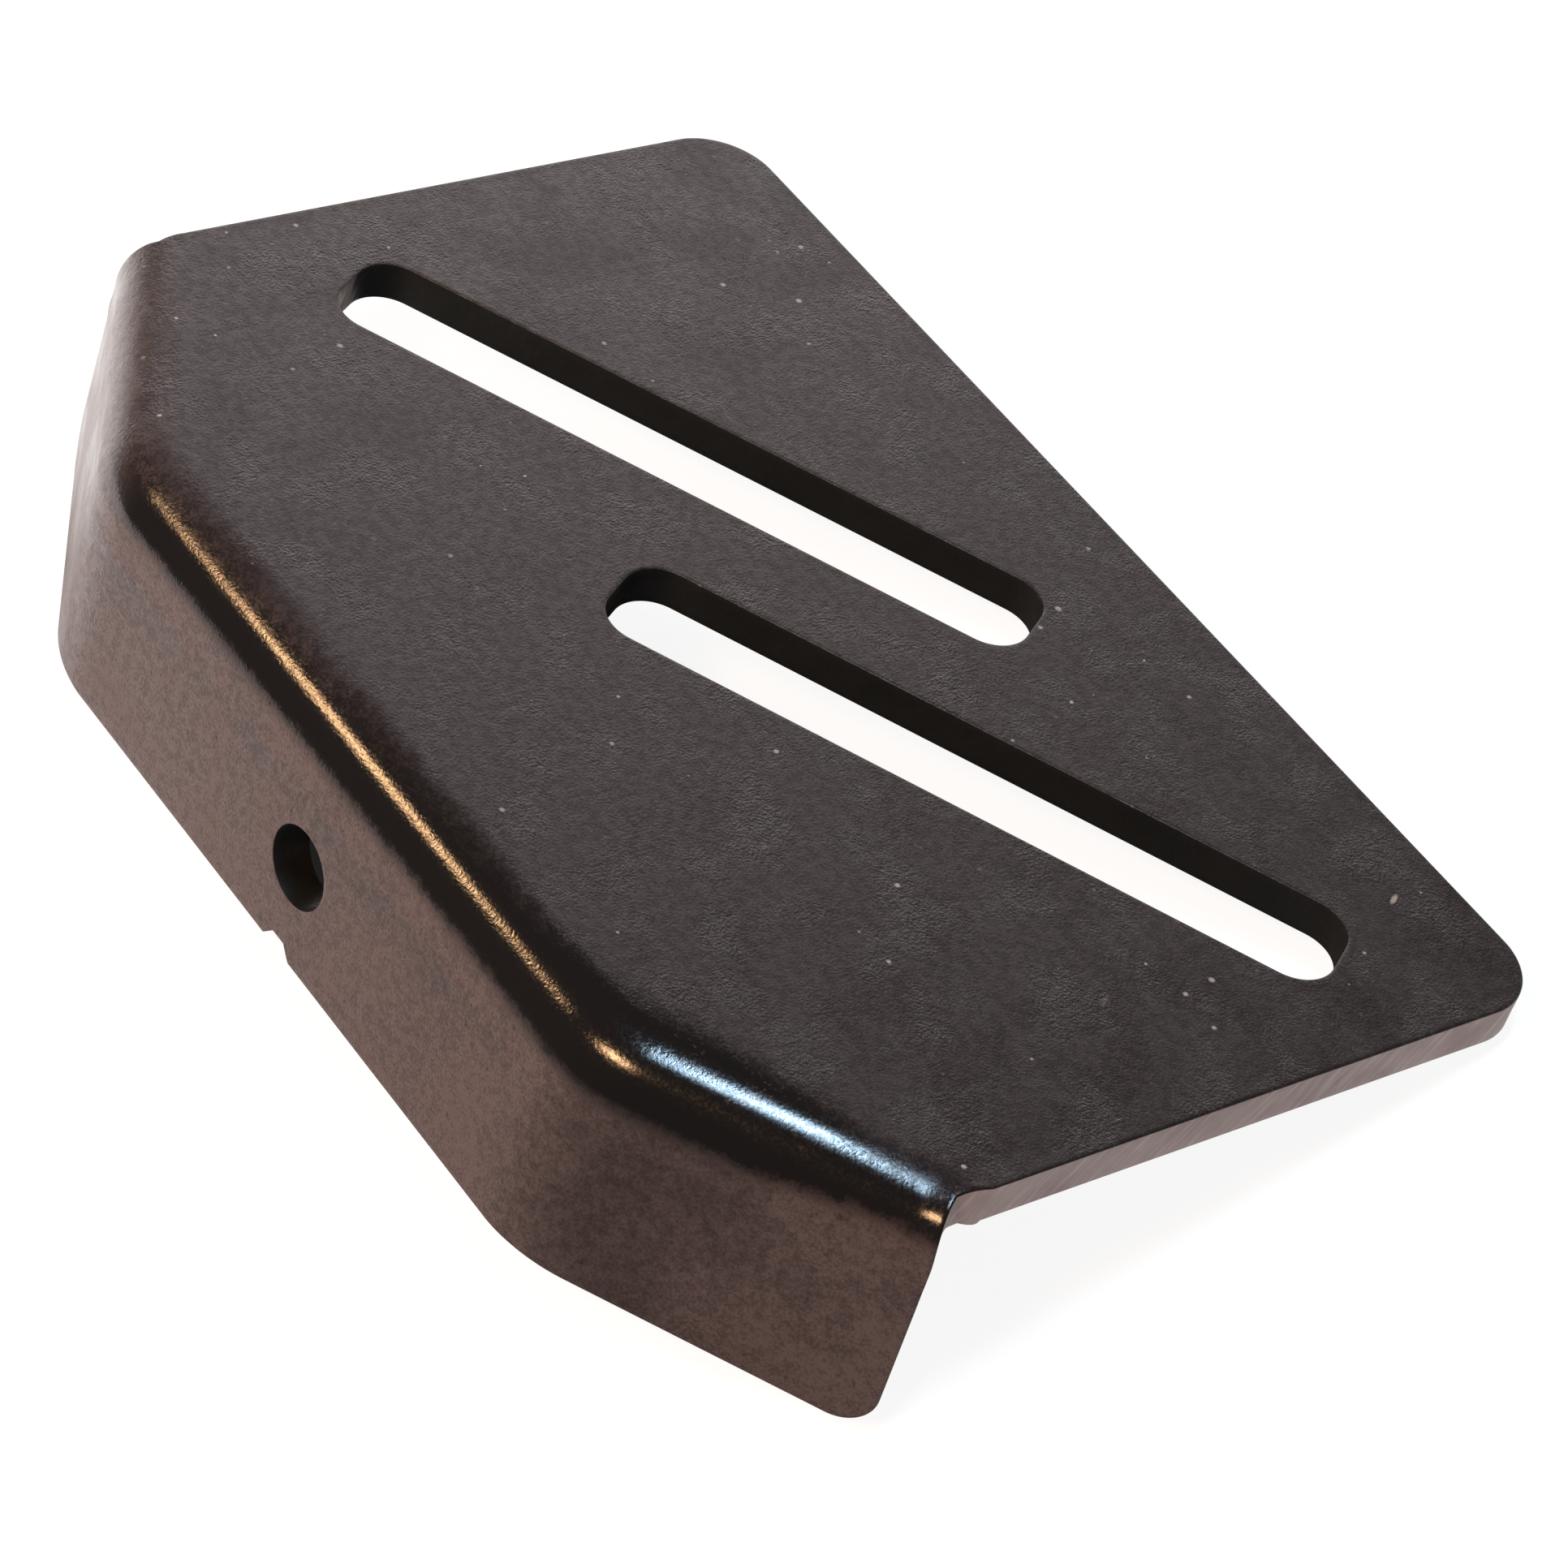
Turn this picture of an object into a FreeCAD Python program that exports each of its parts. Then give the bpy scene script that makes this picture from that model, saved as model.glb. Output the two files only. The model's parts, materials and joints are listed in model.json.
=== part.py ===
import FreeCAD, Part
import math
import os

import Sketcher

# Snow blower skid shoe: one piece of steel plate. A flat plate with two slanted bolt slots is folded down
# along its front into a runner flange, and the runner's two ends are folded back as boat-shaped facets.
# The body is drawn with the plate level: X along the runner, Y from the runner's outer face to the plate's
# free edge, Z out of the plate's outer face. Its Placement then lays it down as it comes to rest, on the
# two flange tips and the free edge.

# Driving dimensions in millimetres and degrees.
SIZES = {
    # Plate
    "plate_length": 148.0,
    "plate_depth": 101.6,
    "sheet_thickness": 4.55,
    "plate_corner_radius": 7.9,
    # Runner flange, measured on its outer face
    "flange_depth": 29.3,
    "bend_inner_radius": 2.5,
    "runner_length": 88.2,
    "runner_corner_radius": 20.0,
    "facet_angle": 31.8,
    "tip_relief": 0.3,
    "tip_radius": 4.5,
    # Bolt slots
    "slot_length": 82.6,
    "slot_width": 12.8,
    "slot_corner_radius": 4.5,
    "slot_angle": 30.0,
    "slot_pitch": 52.0,
    "slot_offset": 61.4,
    # Hanging hole and notch at the middle of the runner
    "hole_diameter": 9.0,
    "hole_drop": 18.1,
    "notch_mouth": 4.8,
    "notch_floor": 2.0,
    "notch_depth": 1.5,
    # Rounding of every cut edge
    "edge_break": 0.4,
    # How far construction runs past the finished edge, or laps under a neighbour
    "lap": 3.0,
}

# Expressions that more than one feature uses.
FACET = "(Sizes.facet_angle * 1 deg)"
BEND_OUTER = "(Sizes.bend_inner_radius + Sizes.sheet_thickness)"
HALF_RUNNER = "(Sizes.runner_length / 2)"
TIP_LAND = "(Sizes.sheet_thickness + Sizes.tip_relief)"
TIP_X = f"(Sizes.plate_length / 2 + {TIP_LAND} * sin({FACET}))"
TIP_Y = f"(({TIP_X} - {HALF_RUNNER}) * tan({FACET}))"
TIP_ROUND_Y = f"({TIP_Y} - Sizes.tip_radius * sin({FACET}))"

# The same places as plain numbers, for the first guess of each sketch.
facet = math.radians(SIZES["facet_angle"])
bend_outer = SIZES["bend_inner_radius"] + SIZES["sheet_thickness"]
half_runner = SIZES["runner_length"] / 2
half_plate = SIZES["plate_length"] / 2
tip_land = SIZES["sheet_thickness"] + SIZES["tip_relief"]
tip_x = half_plate + tip_land * math.sin(facet)
tip_y = (tip_x - half_runner) * math.tan(facet)

ORIGIN = (-1, 1)
X_AXIS = -1
Y_AXIS = -2
START = 1
END = 2
CENTRE = 3
THROUGH_ALL = 1
SHARP = math.radians(20)


def fill_sheet(doc):
    """Put each driving dimension in its own named cell."""
    sheet = doc.addObject("Spreadsheet::Sheet", "Sizes")
    for row, (name, value) in enumerate(SIZES.items(), start=1):
        sheet.set(f"A{row}", name)
        sheet.set(f"B{row}", str(value))
        sheet.setAlias(f"B{row}", name)
    doc.recompute()


def origin_feature(body, role):
    """Return the body's own origin plane or axis of that role."""
    return next(item for item in body.Origin.OriginFeatures if item.Role == role)


def new_sketch(body, name, plane):
    """Return an empty sketch on one of the body's origin planes."""
    sketch = body.newObject("Sketcher::SketchObject", name)
    sketch.AttachmentSupport = [(origin_feature(body, plane), "")]
    sketch.MapMode = "FlatFace"
    return sketch


def line(sketch, start, end):
    """Add a line between two (x, y) points."""
    return sketch.addGeometry(Part.LineSegment(FreeCAD.Vector(*start, 0), FreeCAD.Vector(*end, 0)))


def arc(sketch, centre, radius, first, last):
    """Add an arc that runs anticlockwise between two angles in radians."""
    circle = Part.Circle(FreeCAD.Vector(*centre, 0), FreeCAD.Vector(0, 0, 1), radius)
    return sketch.addGeometry(Part.ArcOfCircle(circle, first, last))


def rule(sketch, kind, *references):
    """Add a constraint that needs no size."""
    sketch.addConstraint(Sketcher.Constraint(kind, *references))


def size(sketch, name, kind, references, guess, expression):
    """Add a constraint whose size follows the sheet."""
    index = sketch.addConstraint(Sketcher.Constraint(kind, *references, guess))
    sketch.renameConstraint(index, name)
    sketch.setExpression(f"Constraints.{name}", expression)


def polygon(sketch, points):
    """Add a closed chain of lines through the points."""
    count = len(points)
    edges = [line(sketch, points[i], points[(i + 1) % count]) for i in range(count)]
    for i, edge in enumerate(edges):
        rule(sketch, "Coincident", edge, END, edges[(i + 1) % count], START)
    return edges


def cut(body, name, sketch):
    """Cut a sketch right through the body and check that metal came away."""
    before = body.Shape.Volume
    pocket = body.newObject("PartDesign::Pocket", name)
    pocket.Profile = sketch
    pocket.Type = THROUGH_ALL
    body.Document.recompute()
    if body.Shape.Volume >= before:
        raise RuntimeError(f"{name} cut nothing")
    return pocket


def runner_path(body):
    """Half of the runner's outer line in plan: straight middle, rounded corner, slanted facet."""
    radius = SIZES["runner_corner_radius"]
    straight = half_runner - radius * math.tan(facet / 2)
    corner = (straight + radius * math.sin(facet), radius - radius * math.cos(facet))
    overrun = SIZES["lap"]
    end = (tip_x + overrun, tip_y + overrun * math.tan(facet))

    sketch = new_sketch(body, "runner_path", "XY_Plane")
    middle = line(sketch, (0, 0), (straight, 0))
    turn = arc(sketch, (straight, radius), radius, -math.pi / 2, facet - math.pi / 2)
    slant = line(sketch, corner, end)
    rule(sketch, "Coincident", middle, START, *ORIGIN)
    rule(sketch, "Horizontal", middle)
    rule(sketch, "Tangent", middle, END, turn, START)
    rule(sketch, "Tangent", turn, END, slant, START)
    size(sketch, "corner_radius", "Radius", (turn,), radius, "Sizes.runner_corner_radius")
    size(sketch, "slant_angle", "Angle", (slant,), facet, FACET)
    size(sketch, "end_x", "DistanceX", (*ORIGIN, slant, END), end[0], f"{TIP_X} + Sizes.lap")
    size(sketch, "end_y", "DistanceY", (*ORIGIN, slant, END), end[1],
         f"{TIP_Y} + Sizes.lap * tan({FACET})")
    return sketch


def fold_section(body):
    """Section across the fold: flange, bend, and a strip that laps under the plate."""
    sheet = SIZES["sheet_thickness"]
    inner = SIZES["bend_inner_radius"]
    depth = SIZES["flange_depth"]
    strip = bend_outer + SIZES["lap"]

    sketch = new_sketch(body, "fold_section", "YZ_Plane")
    outer_face = line(sketch, (0, -depth), (0, -bend_outer))
    outer_bend = arc(sketch, (bend_outer, -bend_outer), bend_outer, math.pi / 2, math.pi)
    top = line(sketch, (bend_outer, 0), (strip, 0))
    strip_end = line(sketch, (strip, 0), (strip, -sheet))
    underside = line(sketch, (strip, -sheet), (bend_outer, -sheet))
    inner_bend = arc(sketch, (bend_outer, -bend_outer), inner, math.pi / 2, math.pi)
    inner_face = line(sketch, (sheet, -bend_outer), (sheet, -depth))
    lower_edge = line(sketch, (sheet, -depth), (0, -depth))

    rule(sketch, "Tangent", outer_face, END, outer_bend, END)
    rule(sketch, "Tangent", outer_bend, START, top, START)
    rule(sketch, "Coincident", top, END, strip_end, START)
    rule(sketch, "Coincident", strip_end, END, underside, START)
    rule(sketch, "Tangent", underside, END, inner_bend, START)
    rule(sketch, "Tangent", inner_bend, END, inner_face, START)
    rule(sketch, "Coincident", inner_face, END, lower_edge, START)
    rule(sketch, "Coincident", lower_edge, END, outer_face, START)
    rule(sketch, "Coincident", outer_bend, CENTRE, inner_bend, CENTRE)
    for upright in (outer_face, strip_end, inner_face):
        rule(sketch, "Vertical", upright)
    for level in (top, underside, lower_edge):
        rule(sketch, "Horizontal", level)
    rule(sketch, "PointOnObject", outer_face, START, Y_AXIS)
    rule(sketch, "PointOnObject", top, START, X_AXIS)
    size(sketch, "sheet", "Distance", (strip_end,), sheet, "Sizes.sheet_thickness")
    size(sketch, "inner_radius", "Radius", (inner_bend,), inner, "Sizes.bend_inner_radius")
    size(sketch, "depth", "DistanceY", (outer_face, START, *ORIGIN), depth, "Sizes.flange_depth")
    size(sketch, "strip", "DistanceX", (*ORIGIN, top, END), strip, f"{BEND_OUTER} + Sizes.lap")
    return sketch


def plate_blank(body):
    """Half of the plate before its end is cut, lapped half way over the fold's strip."""
    edge = bend_outer + SIZES["lap"] / 2
    corner = half_runner - edge * math.tan(facet / 2)
    wide = half_plate + SIZES["lap"]
    depth = SIZES["plate_depth"]
    slant_end = edge + (wide - corner) * math.tan(facet)

    sketch = new_sketch(body, "plate_blank", "XY_Plane")
    front, slant, side, free_edge, middle = polygon(
        sketch, [(0, edge), (corner, edge), (wide, slant_end), (wide, depth), (0, depth)])
    rule(sketch, "Horizontal", front)
    rule(sketch, "Vertical", side)
    rule(sketch, "Horizontal", free_edge)
    rule(sketch, "Vertical", middle)
    rule(sketch, "PointOnObject", middle, START, Y_AXIS)
    edge_rule = f"({BEND_OUTER} + Sizes.lap / 2)"
    size(sketch, "front_y", "DistanceY", (*ORIGIN, front, START), edge, edge_rule)
    size(sketch, "corner_x", "DistanceX", (*ORIGIN, front, END), corner,
         f"{HALF_RUNNER} - {edge_rule} * tan({FACET} / 2)")
    size(sketch, "slant_angle", "Angle", (slant,), facet, FACET)
    size(sketch, "side_x", "DistanceX", (*ORIGIN, side, END), wide, "Sizes.plate_length / 2 + Sizes.lap")
    size(sketch, "free_edge_y", "DistanceY", (*ORIGIN, free_edge, END), depth, "Sizes.plate_depth")
    return sketch


def end_trim(body):
    """What is cut from the end: past the plate's side edge, and past a line square to the facet."""
    lap = SIZES["lap"]
    above = SIZES["plate_depth"] + lap
    beyond = tip_x + 2 * lap
    square_y = tip_y + tip_land * math.cos(facet)
    tip = (tip_x + lap * math.sin(facet), tip_y - lap * math.cos(facet))

    sketch = new_sketch(body, "end_trim", "XY_Plane")
    side, tip_end, front, far_side, back = polygon(
        sketch, [(half_plate, above), (half_plate, square_y), tip, (beyond, tip[1]), (beyond, above)])
    rule(sketch, "Vertical", side)
    rule(sketch, "Horizontal", front)
    rule(sketch, "Vertical", far_side)
    rule(sketch, "Horizontal", back)
    size(sketch, "side_x", "DistanceX", (*ORIGIN, side, START), half_plate, "Sizes.plate_length / 2")
    size(sketch, "tip_angle", "Angle", (tip_end,), facet - math.pi / 2, f"{FACET} - 90 deg")
    size(sketch, "tip_end_x", "DistanceX", (*ORIGIN, tip_end, END), tip[0],
         f"{TIP_X} + Sizes.lap * sin({FACET})")
    size(sketch, "tip_end_y", "DistanceY", (*ORIGIN, tip_end, END), tip[1],
         f"{TIP_Y} - Sizes.lap * cos({FACET})")
    size(sketch, "beyond_x", "DistanceX", (*ORIGIN, far_side, START), beyond, f"{TIP_X} + 2 * Sizes.lap")
    size(sketch, "above_y", "DistanceY", (*ORIGIN, back, START), above, "Sizes.plate_depth + Sizes.lap")
    return sketch


def slot_outline(body):
    """One bolt slot, drawn level and turned to its slant: a long box with rounded corners."""
    radius = SIZES["slot_corner_radius"]
    x = SIZES["slot_length"] / 2
    y = SIZES["slot_width"] / 2
    quarter = math.pi / 2

    sketch = new_sketch(body, "slot_outline", "XY_Plane")
    sketch.AttachmentOffset = FreeCAD.Placement(
        FreeCAD.Vector(), FreeCAD.Rotation(FreeCAD.Vector(0, 0, 1), SIZES["slot_angle"]))
    sketch.setExpression("AttachmentOffset.Rotation.Angle", "Sizes.slot_angle * 1 deg")
    sketch.setExpression("AttachmentOffset.Base.x", "-Sizes.slot_pitch / 2")
    sketch.setExpression("AttachmentOffset.Base.y", "Sizes.slot_offset")

    lower = line(sketch, (radius - x, -y), (x - radius, -y))
    right = line(sketch, (x, radius - y), (x, y - radius))
    upper = line(sketch, (x - radius, y), (radius - x, y))
    left = line(sketch, (-x, y - radius), (-x, radius - y))
    sides = (lower, right, upper, left)
    centres = [(x - radius, radius - y), (x - radius, y - radius),
               (radius - x, y - radius), (radius - x, radius - y)]
    corners = [arc(sketch, centre, radius, (i - 1) * quarter, i * quarter)
               for i, centre in enumerate(centres)]
    for i, corner in enumerate(corners):
        rule(sketch, "Tangent", sides[i], END, corner, START)
        rule(sketch, "Tangent", corner, END, sides[(i + 1) % len(sides)], START)
    for other in corners[1:]:
        rule(sketch, "Equal", corners[0], other)
    rule(sketch, "Horizontal", lower)
    rule(sketch, "Horizontal", upper)
    rule(sketch, "Vertical", right)
    rule(sketch, "Vertical", left)
    rule(sketch, "Symmetric", lower, START, upper, START, *ORIGIN)
    size(sketch, "corner_radius", "Radius", (corners[0],), radius, "Sizes.slot_corner_radius")
    size(sketch, "width", "DistanceY", (lower, START, upper, END), 2 * y, "Sizes.slot_width")
    size(sketch, "length", "DistanceX", (left, START, right, START), 2 * x, "Sizes.slot_length")
    return sketch


def hole_outline(body):
    """The round hole in the middle of the runner."""
    drop = SIZES["hole_drop"]
    radius = SIZES["hole_diameter"] / 2

    sketch = new_sketch(body, "hole_outline", "XZ_Plane")
    circle = Part.Circle(FreeCAD.Vector(0, -drop, 0), FreeCAD.Vector(0, 0, 1), radius)
    hole = sketch.addGeometry(circle)
    rule(sketch, "PointOnObject", hole, CENTRE, Y_AXIS)
    size(sketch, "drop", "DistanceY", (hole, CENTRE, *ORIGIN), drop, "Sizes.hole_drop")
    size(sketch, "diameter", "Diameter", (hole,), 2 * radius, "Sizes.hole_diameter")
    return sketch


def notch_outline(body):
    """The small notch with slanted sides in the runner's lower edge, under the hole."""
    edge = -SIZES["flange_depth"]
    floor_z = edge + SIZES["notch_depth"]
    below = edge - SIZES["lap"]
    floor = SIZES["notch_floor"] / 2
    mouth = SIZES["notch_mouth"] / 2

    sketch = new_sketch(body, "notch_outline", "XZ_Plane")
    base, right_low, right, top, left, left_low = polygon(
        sketch, [(-mouth, below), (mouth, below), (mouth, edge), (floor, floor_z), (-floor, floor_z),
                 (-mouth, edge)])
    rule(sketch, "Horizontal", base)
    rule(sketch, "Vertical", right_low)
    rule(sketch, "Vertical", left_low)
    rule(sketch, "Symmetric", right, START, left, END, Y_AXIS)
    rule(sketch, "Symmetric", top, START, top, END, Y_AXIS)
    size(sketch, "mouth", "DistanceX", (left, END, right, START), 2 * mouth, "Sizes.notch_mouth")
    size(sketch, "floor", "DistanceX", (top, END, top, START), 2 * floor, "Sizes.notch_floor")
    size(sketch, "edge_z", "DistanceY", (right, START, *ORIGIN), -edge, "Sizes.flange_depth")
    size(sketch, "floor_z", "DistanceY", (top, START, *ORIGIN), -floor_z,
         "Sizes.flange_depth - Sizes.notch_depth")
    size(sketch, "below_z", "DistanceY", (base, START, *ORIGIN), -below, "Sizes.flange_depth + Sizes.lap")
    return sketch


def edges_at(shape, places):
    """Name the edges whose middles lie at the given places."""
    reach = SIZES["sheet_thickness"] / 10
    names = []
    for place in places:
        found = [f"Edge{number}" for number, edge in enumerate(shape.Edges, start=1)
                 if (edge.CenterOfMass - place).Length < reach]
        if len(found) != 1:
            raise RuntimeError(f"{len(found)} edges at {place}")
        names += found
    return names


def sharp_edges(shape):
    """Name the edges where two faces meet at an angle, which leaves out the smooth seams."""
    names = []
    for number, edge in enumerate(shape.Edges, start=1):
        middle = edge.valueAt((edge.FirstParameter + edge.LastParameter) / 2)
        faces = shape.ancestorsOfType(edge, Part.Face)
        normals = [face.normalAt(*face.Surface.parameter(middle)) for face in faces]
        if normals[0].getAngle(normals[-1]) > SHARP:
            names.append(f"Edge{number}")
    return names


def round_edges(body, name, edges, radius_name):
    """Round the named edges of what the body has so far."""
    base = body.Tip
    fillet = body.newObject("PartDesign::Fillet", name)
    fillet.Base = (base, edges)
    fillet.Radius = SIZES[radius_name]
    fillet.setExpression("Radius", f"Sizes.{radius_name}")
    body.Document.recompute()


def lay_down(body):
    """Turn the body about X until the flange tips and the free edge touch one level surface.

    Every edge is broken by a small round, so the touching plane is found for the shape as it is one edge
    break inside the skin, and stands off from it by that much. There the tip is a quarter round in the
    facet's own plane, and the free edge is a square corner. The plane that touches both leans by the angle
    whose tangent solves
    (reach * tangent - rise) squared = tip_round squared * (1 + sin(facet) squared * tangent squared),
    where reach and rise run from the round's centre line to the corner, and the larger root is wanted.
    The box of the turned body is then centred on the origin and stands on it.
    """
    core_depth = "(Sizes.plate_depth - Sizes.edge_break)"
    core_sheet = "(Sizes.sheet_thickness - Sizes.edge_break)"
    tip_round = "(Sizes.tip_radius - Sizes.edge_break)"
    reach = f"({core_depth} - {TIP_ROUND_Y} - {core_sheet} * cos({FACET}))"
    rise = f"(Sizes.flange_depth - Sizes.tip_radius - {core_sheet})"
    spread = f"({reach} ^ 2 - ({tip_round} * sin({FACET})) ^ 2)"
    root = f"sqrt(({reach} * {rise}) ^ 2 - {spread} * ({rise} ^ 2 - {tip_round} ^ 2))"
    lean = f"atan(({reach} * {rise} + {root}) / {spread})"

    body.Placement = FreeCAD.Placement(FreeCAD.Vector(), FreeCAD.Rotation(FreeCAD.Vector(-1, 0, 0), 1))
    body.setExpression("Placement.Rotation.Angle", lean)
    body.setExpression(
        "Placement.Base.y",
        f"(Sizes.flange_depth * sin({lean}) - Sizes.plate_depth * cos({lean})) / 2")
    body.setExpression(
        "Placement.Base.z",
        f"{core_depth} * sin({lean}) + {core_sheet} * cos({lean}) + Sizes.edge_break")
    body.Document.recompute()


def build_shoe(doc):
    """Fold, plate and trimmed end of one half, mirrored, then the openings and the rounded corners."""
    body = doc.addObject("PartDesign::Body", "skid_shoe")
    body.Label = "skid_shoe"

    path = runner_path(body)
    section = fold_section(body)
    doc.recompute()
    fold = body.newObject("PartDesign::AdditivePipe", "fold")
    fold.Profile = section
    fold.Spine = (path, ["Edge1", "Edge2", "Edge3"])
    doc.recompute()

    plate = body.newObject("PartDesign::Pad", "plate")
    plate.Profile = plate_blank(body)
    plate.Reversed = True
    plate.setExpression("Length", "Sizes.sheet_thickness")
    doc.recompute()

    trim = cut(body, "trim", end_trim(body))

    halves = body.newObject("PartDesign::Mirrored", "halves")
    halves.Originals = [fold, plate, trim]
    halves.MirrorPlane = (origin_feature(body, "YZ_Plane"), [""])
    body.Tip = halves
    doc.recompute()

    slot = cut(body, "slot", slot_outline(body))
    slots = body.newObject("PartDesign::LinearPattern", "slots")
    slots.Originals = [slot]
    slots.Direction = (origin_feature(body, "X_Axis"), [""])
    slots.Occurrences = 2
    slots.setExpression("Length", "Sizes.slot_pitch")
    body.Tip = slots
    doc.recompute()

    cut(body, "hole", hole_outline(body))
    cut(body, "notch", notch_outline(body))

    half_sheet = SIZES["sheet_thickness"] / 2
    plate_corners = [FreeCAD.Vector(side * half_plate, SIZES["plate_depth"], -half_sheet)
                     for side in (-1, 1)]
    round_edges(body, "plate_corners", edges_at(body.Tip.Shape, plate_corners), "plate_corner_radius")
    tip_middle = (tip_x - half_sheet * math.sin(facet), tip_y + half_sheet * math.cos(facet))
    tips = [FreeCAD.Vector(side * tip_middle[0], tip_middle[1], -SIZES["flange_depth"])
            for side in (-1, 1)]
    round_edges(body, "tip_corners", edges_at(body.Tip.Shape, tips), "tip_radius")
    round_edges(body, "edge_breaks", sharp_edges(body.Tip.Shape), "edge_break")

    lay_down(body)
    return body


def check(doc, bodies):
    """Stop if a feature failed or a body is not one sound solid."""
    failed = [item.Name for item in doc.Objects if {"Invalid", "Error"} & set(item.State)]
    if failed:
        raise RuntimeError(f"failed: {failed}")
    for body in bodies:
        shape = body.Shape
        if shape.isNull() or not shape.isValid() or len(shape.Solids) != 1:
            raise RuntimeError(f"{body.Label} is not one sound solid")


doc = FreeCAD.newDocument("skid_shoe")
fill_sheet(doc)
shoe = build_shoe(doc)
check(doc, [shoe])

os.makedirs("parts", exist_ok=True)
shoe.Shape.exportStep(f"parts/{shoe.Label}.step")

box = shoe.Shape.optimalBoundingBox()
lean = math.degrees(shoe.Placement.Rotation.Angle)
print(f"{shoe.Label}: volume {shoe.Shape.Volume:.1f}, leaning {lean:.3f}")
print(f"box {box.XMin:.3f} {box.YMin:.3f} {box.ZMin:.3f} to {box.XMax:.3f} {box.YMax:.3f} {box.ZMax:.3f}")
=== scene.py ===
"""Looks of a snow blower skid shoe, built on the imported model's frame.

The shoe is one folded steel plate with a thin dark coat. It is worked out as a flat sheet with an outline,
two slots and a hole, which a formula then folds. Lengths are metres. In sheet terms, x runs along the runner,
y from the runner's outer face to the free edge, and z out of the plate's outer face. The frame says how the
sheet lies.
"""
import json
import logging
import math
from dataclasses import dataclass, field
from enum import Enum
from typing import Callable

import bmesh
import bpy
import numpy as np
from mathutils import Matrix, Vector
from mathutils.geometry import delaunay_2d_cdt


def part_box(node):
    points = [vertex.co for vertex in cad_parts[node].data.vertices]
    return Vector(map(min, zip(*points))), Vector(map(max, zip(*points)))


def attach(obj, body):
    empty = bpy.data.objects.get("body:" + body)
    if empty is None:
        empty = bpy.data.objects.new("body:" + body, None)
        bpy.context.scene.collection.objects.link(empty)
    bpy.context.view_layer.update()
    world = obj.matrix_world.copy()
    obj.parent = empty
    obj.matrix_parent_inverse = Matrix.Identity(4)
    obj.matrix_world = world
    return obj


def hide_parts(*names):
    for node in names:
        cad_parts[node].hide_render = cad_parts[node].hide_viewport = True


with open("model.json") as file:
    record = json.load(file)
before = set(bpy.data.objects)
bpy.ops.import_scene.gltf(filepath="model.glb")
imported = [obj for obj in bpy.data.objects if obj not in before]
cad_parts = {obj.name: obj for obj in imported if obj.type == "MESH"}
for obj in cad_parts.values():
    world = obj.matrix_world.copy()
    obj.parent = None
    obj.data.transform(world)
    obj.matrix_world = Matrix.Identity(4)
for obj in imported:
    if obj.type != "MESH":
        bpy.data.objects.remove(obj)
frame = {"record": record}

Array = np.ndarray
Loop = Callable[[float, float], tuple[Array, Array]]
Socket = bpy.types.NodeSocket
Colour = tuple[float, float, float]
Place = tuple[float, float, float]
Span = tuple[float, float]

log = logging.getLogger("skid_shoe")

MILLIMETRE = 0.001
PHOTO_PIXELS = 1932
SENSOR_WIDTH = 36.0


class Finish(Enum):
    """Which finish a face of the shoe takes, by its place in the mesh's list of materials."""

    COAT = 0
    SHEARED_EDGE = 1
    PUNCHED_WALL = 2


class Skin(Enum):
    """The two broad faces of the sheet."""

    OUTER = "outer"
    INNER = "inner"


@dataclass(frozen=True)
class SheetSizes:
    """Driving sizes of the folded sheet, as in the part's own source."""

    plate_length: float = 148.0 * MILLIMETRE
    plate_depth: float = 101.6 * MILLIMETRE
    thickness: float = 4.55 * MILLIMETRE
    plate_corner: float = 7.9 * MILLIMETRE
    flange_depth: float = 29.3 * MILLIMETRE
    bend_inner: float = 2.5 * MILLIMETRE
    runner_length: float = 88.2 * MILLIMETRE
    runner_corner: float = 20.0 * MILLIMETRE
    facet_angle: float = math.radians(31.8)
    tip_relief: float = 0.3 * MILLIMETRE
    tip_corner: float = 4.5 * MILLIMETRE
    slot_length: float = 82.6 * MILLIMETRE
    slot_width: float = 12.8 * MILLIMETRE
    slot_corner: float = 4.5 * MILLIMETRE
    slot_angle: float = math.radians(30.0)
    slot_pitch: float = 52.0 * MILLIMETRE
    slot_offset: float = 61.4 * MILLIMETRE
    hole_radius: float = 4.5 * MILLIMETRE
    hole_drop: float = 18.1 * MILLIMETRE
    notch_mouth: float = 4.8 * MILLIMETRE
    notch_floor: float = 2.0 * MILLIMETRE
    notch_depth: float = 1.5 * MILLIMETRE
    edge_break: float = 0.4 * MILLIMETRE

    @property
    def bend_outer(self) -> float:
        """Radius of the bend's outer face."""
        return self.bend_inner + self.thickness

    @property
    def bend_arc(self) -> float:
        """Length of the bend's outer arc."""
        return self.bend_outer * math.pi / 2

    @property
    def half_plate(self) -> float:
        """Distance from the middle to the plate's side edge."""
        return self.plate_length / 2

    @property
    def half_runner(self) -> float:
        """Distance from the middle to where the runner's faces would meet if their corner were sharp."""
        return self.runner_length / 2

    @property
    def drop(self) -> float:
        """Height of the flat part of the flange, below the bend."""
        return self.flange_depth - self.bend_outer


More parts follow.
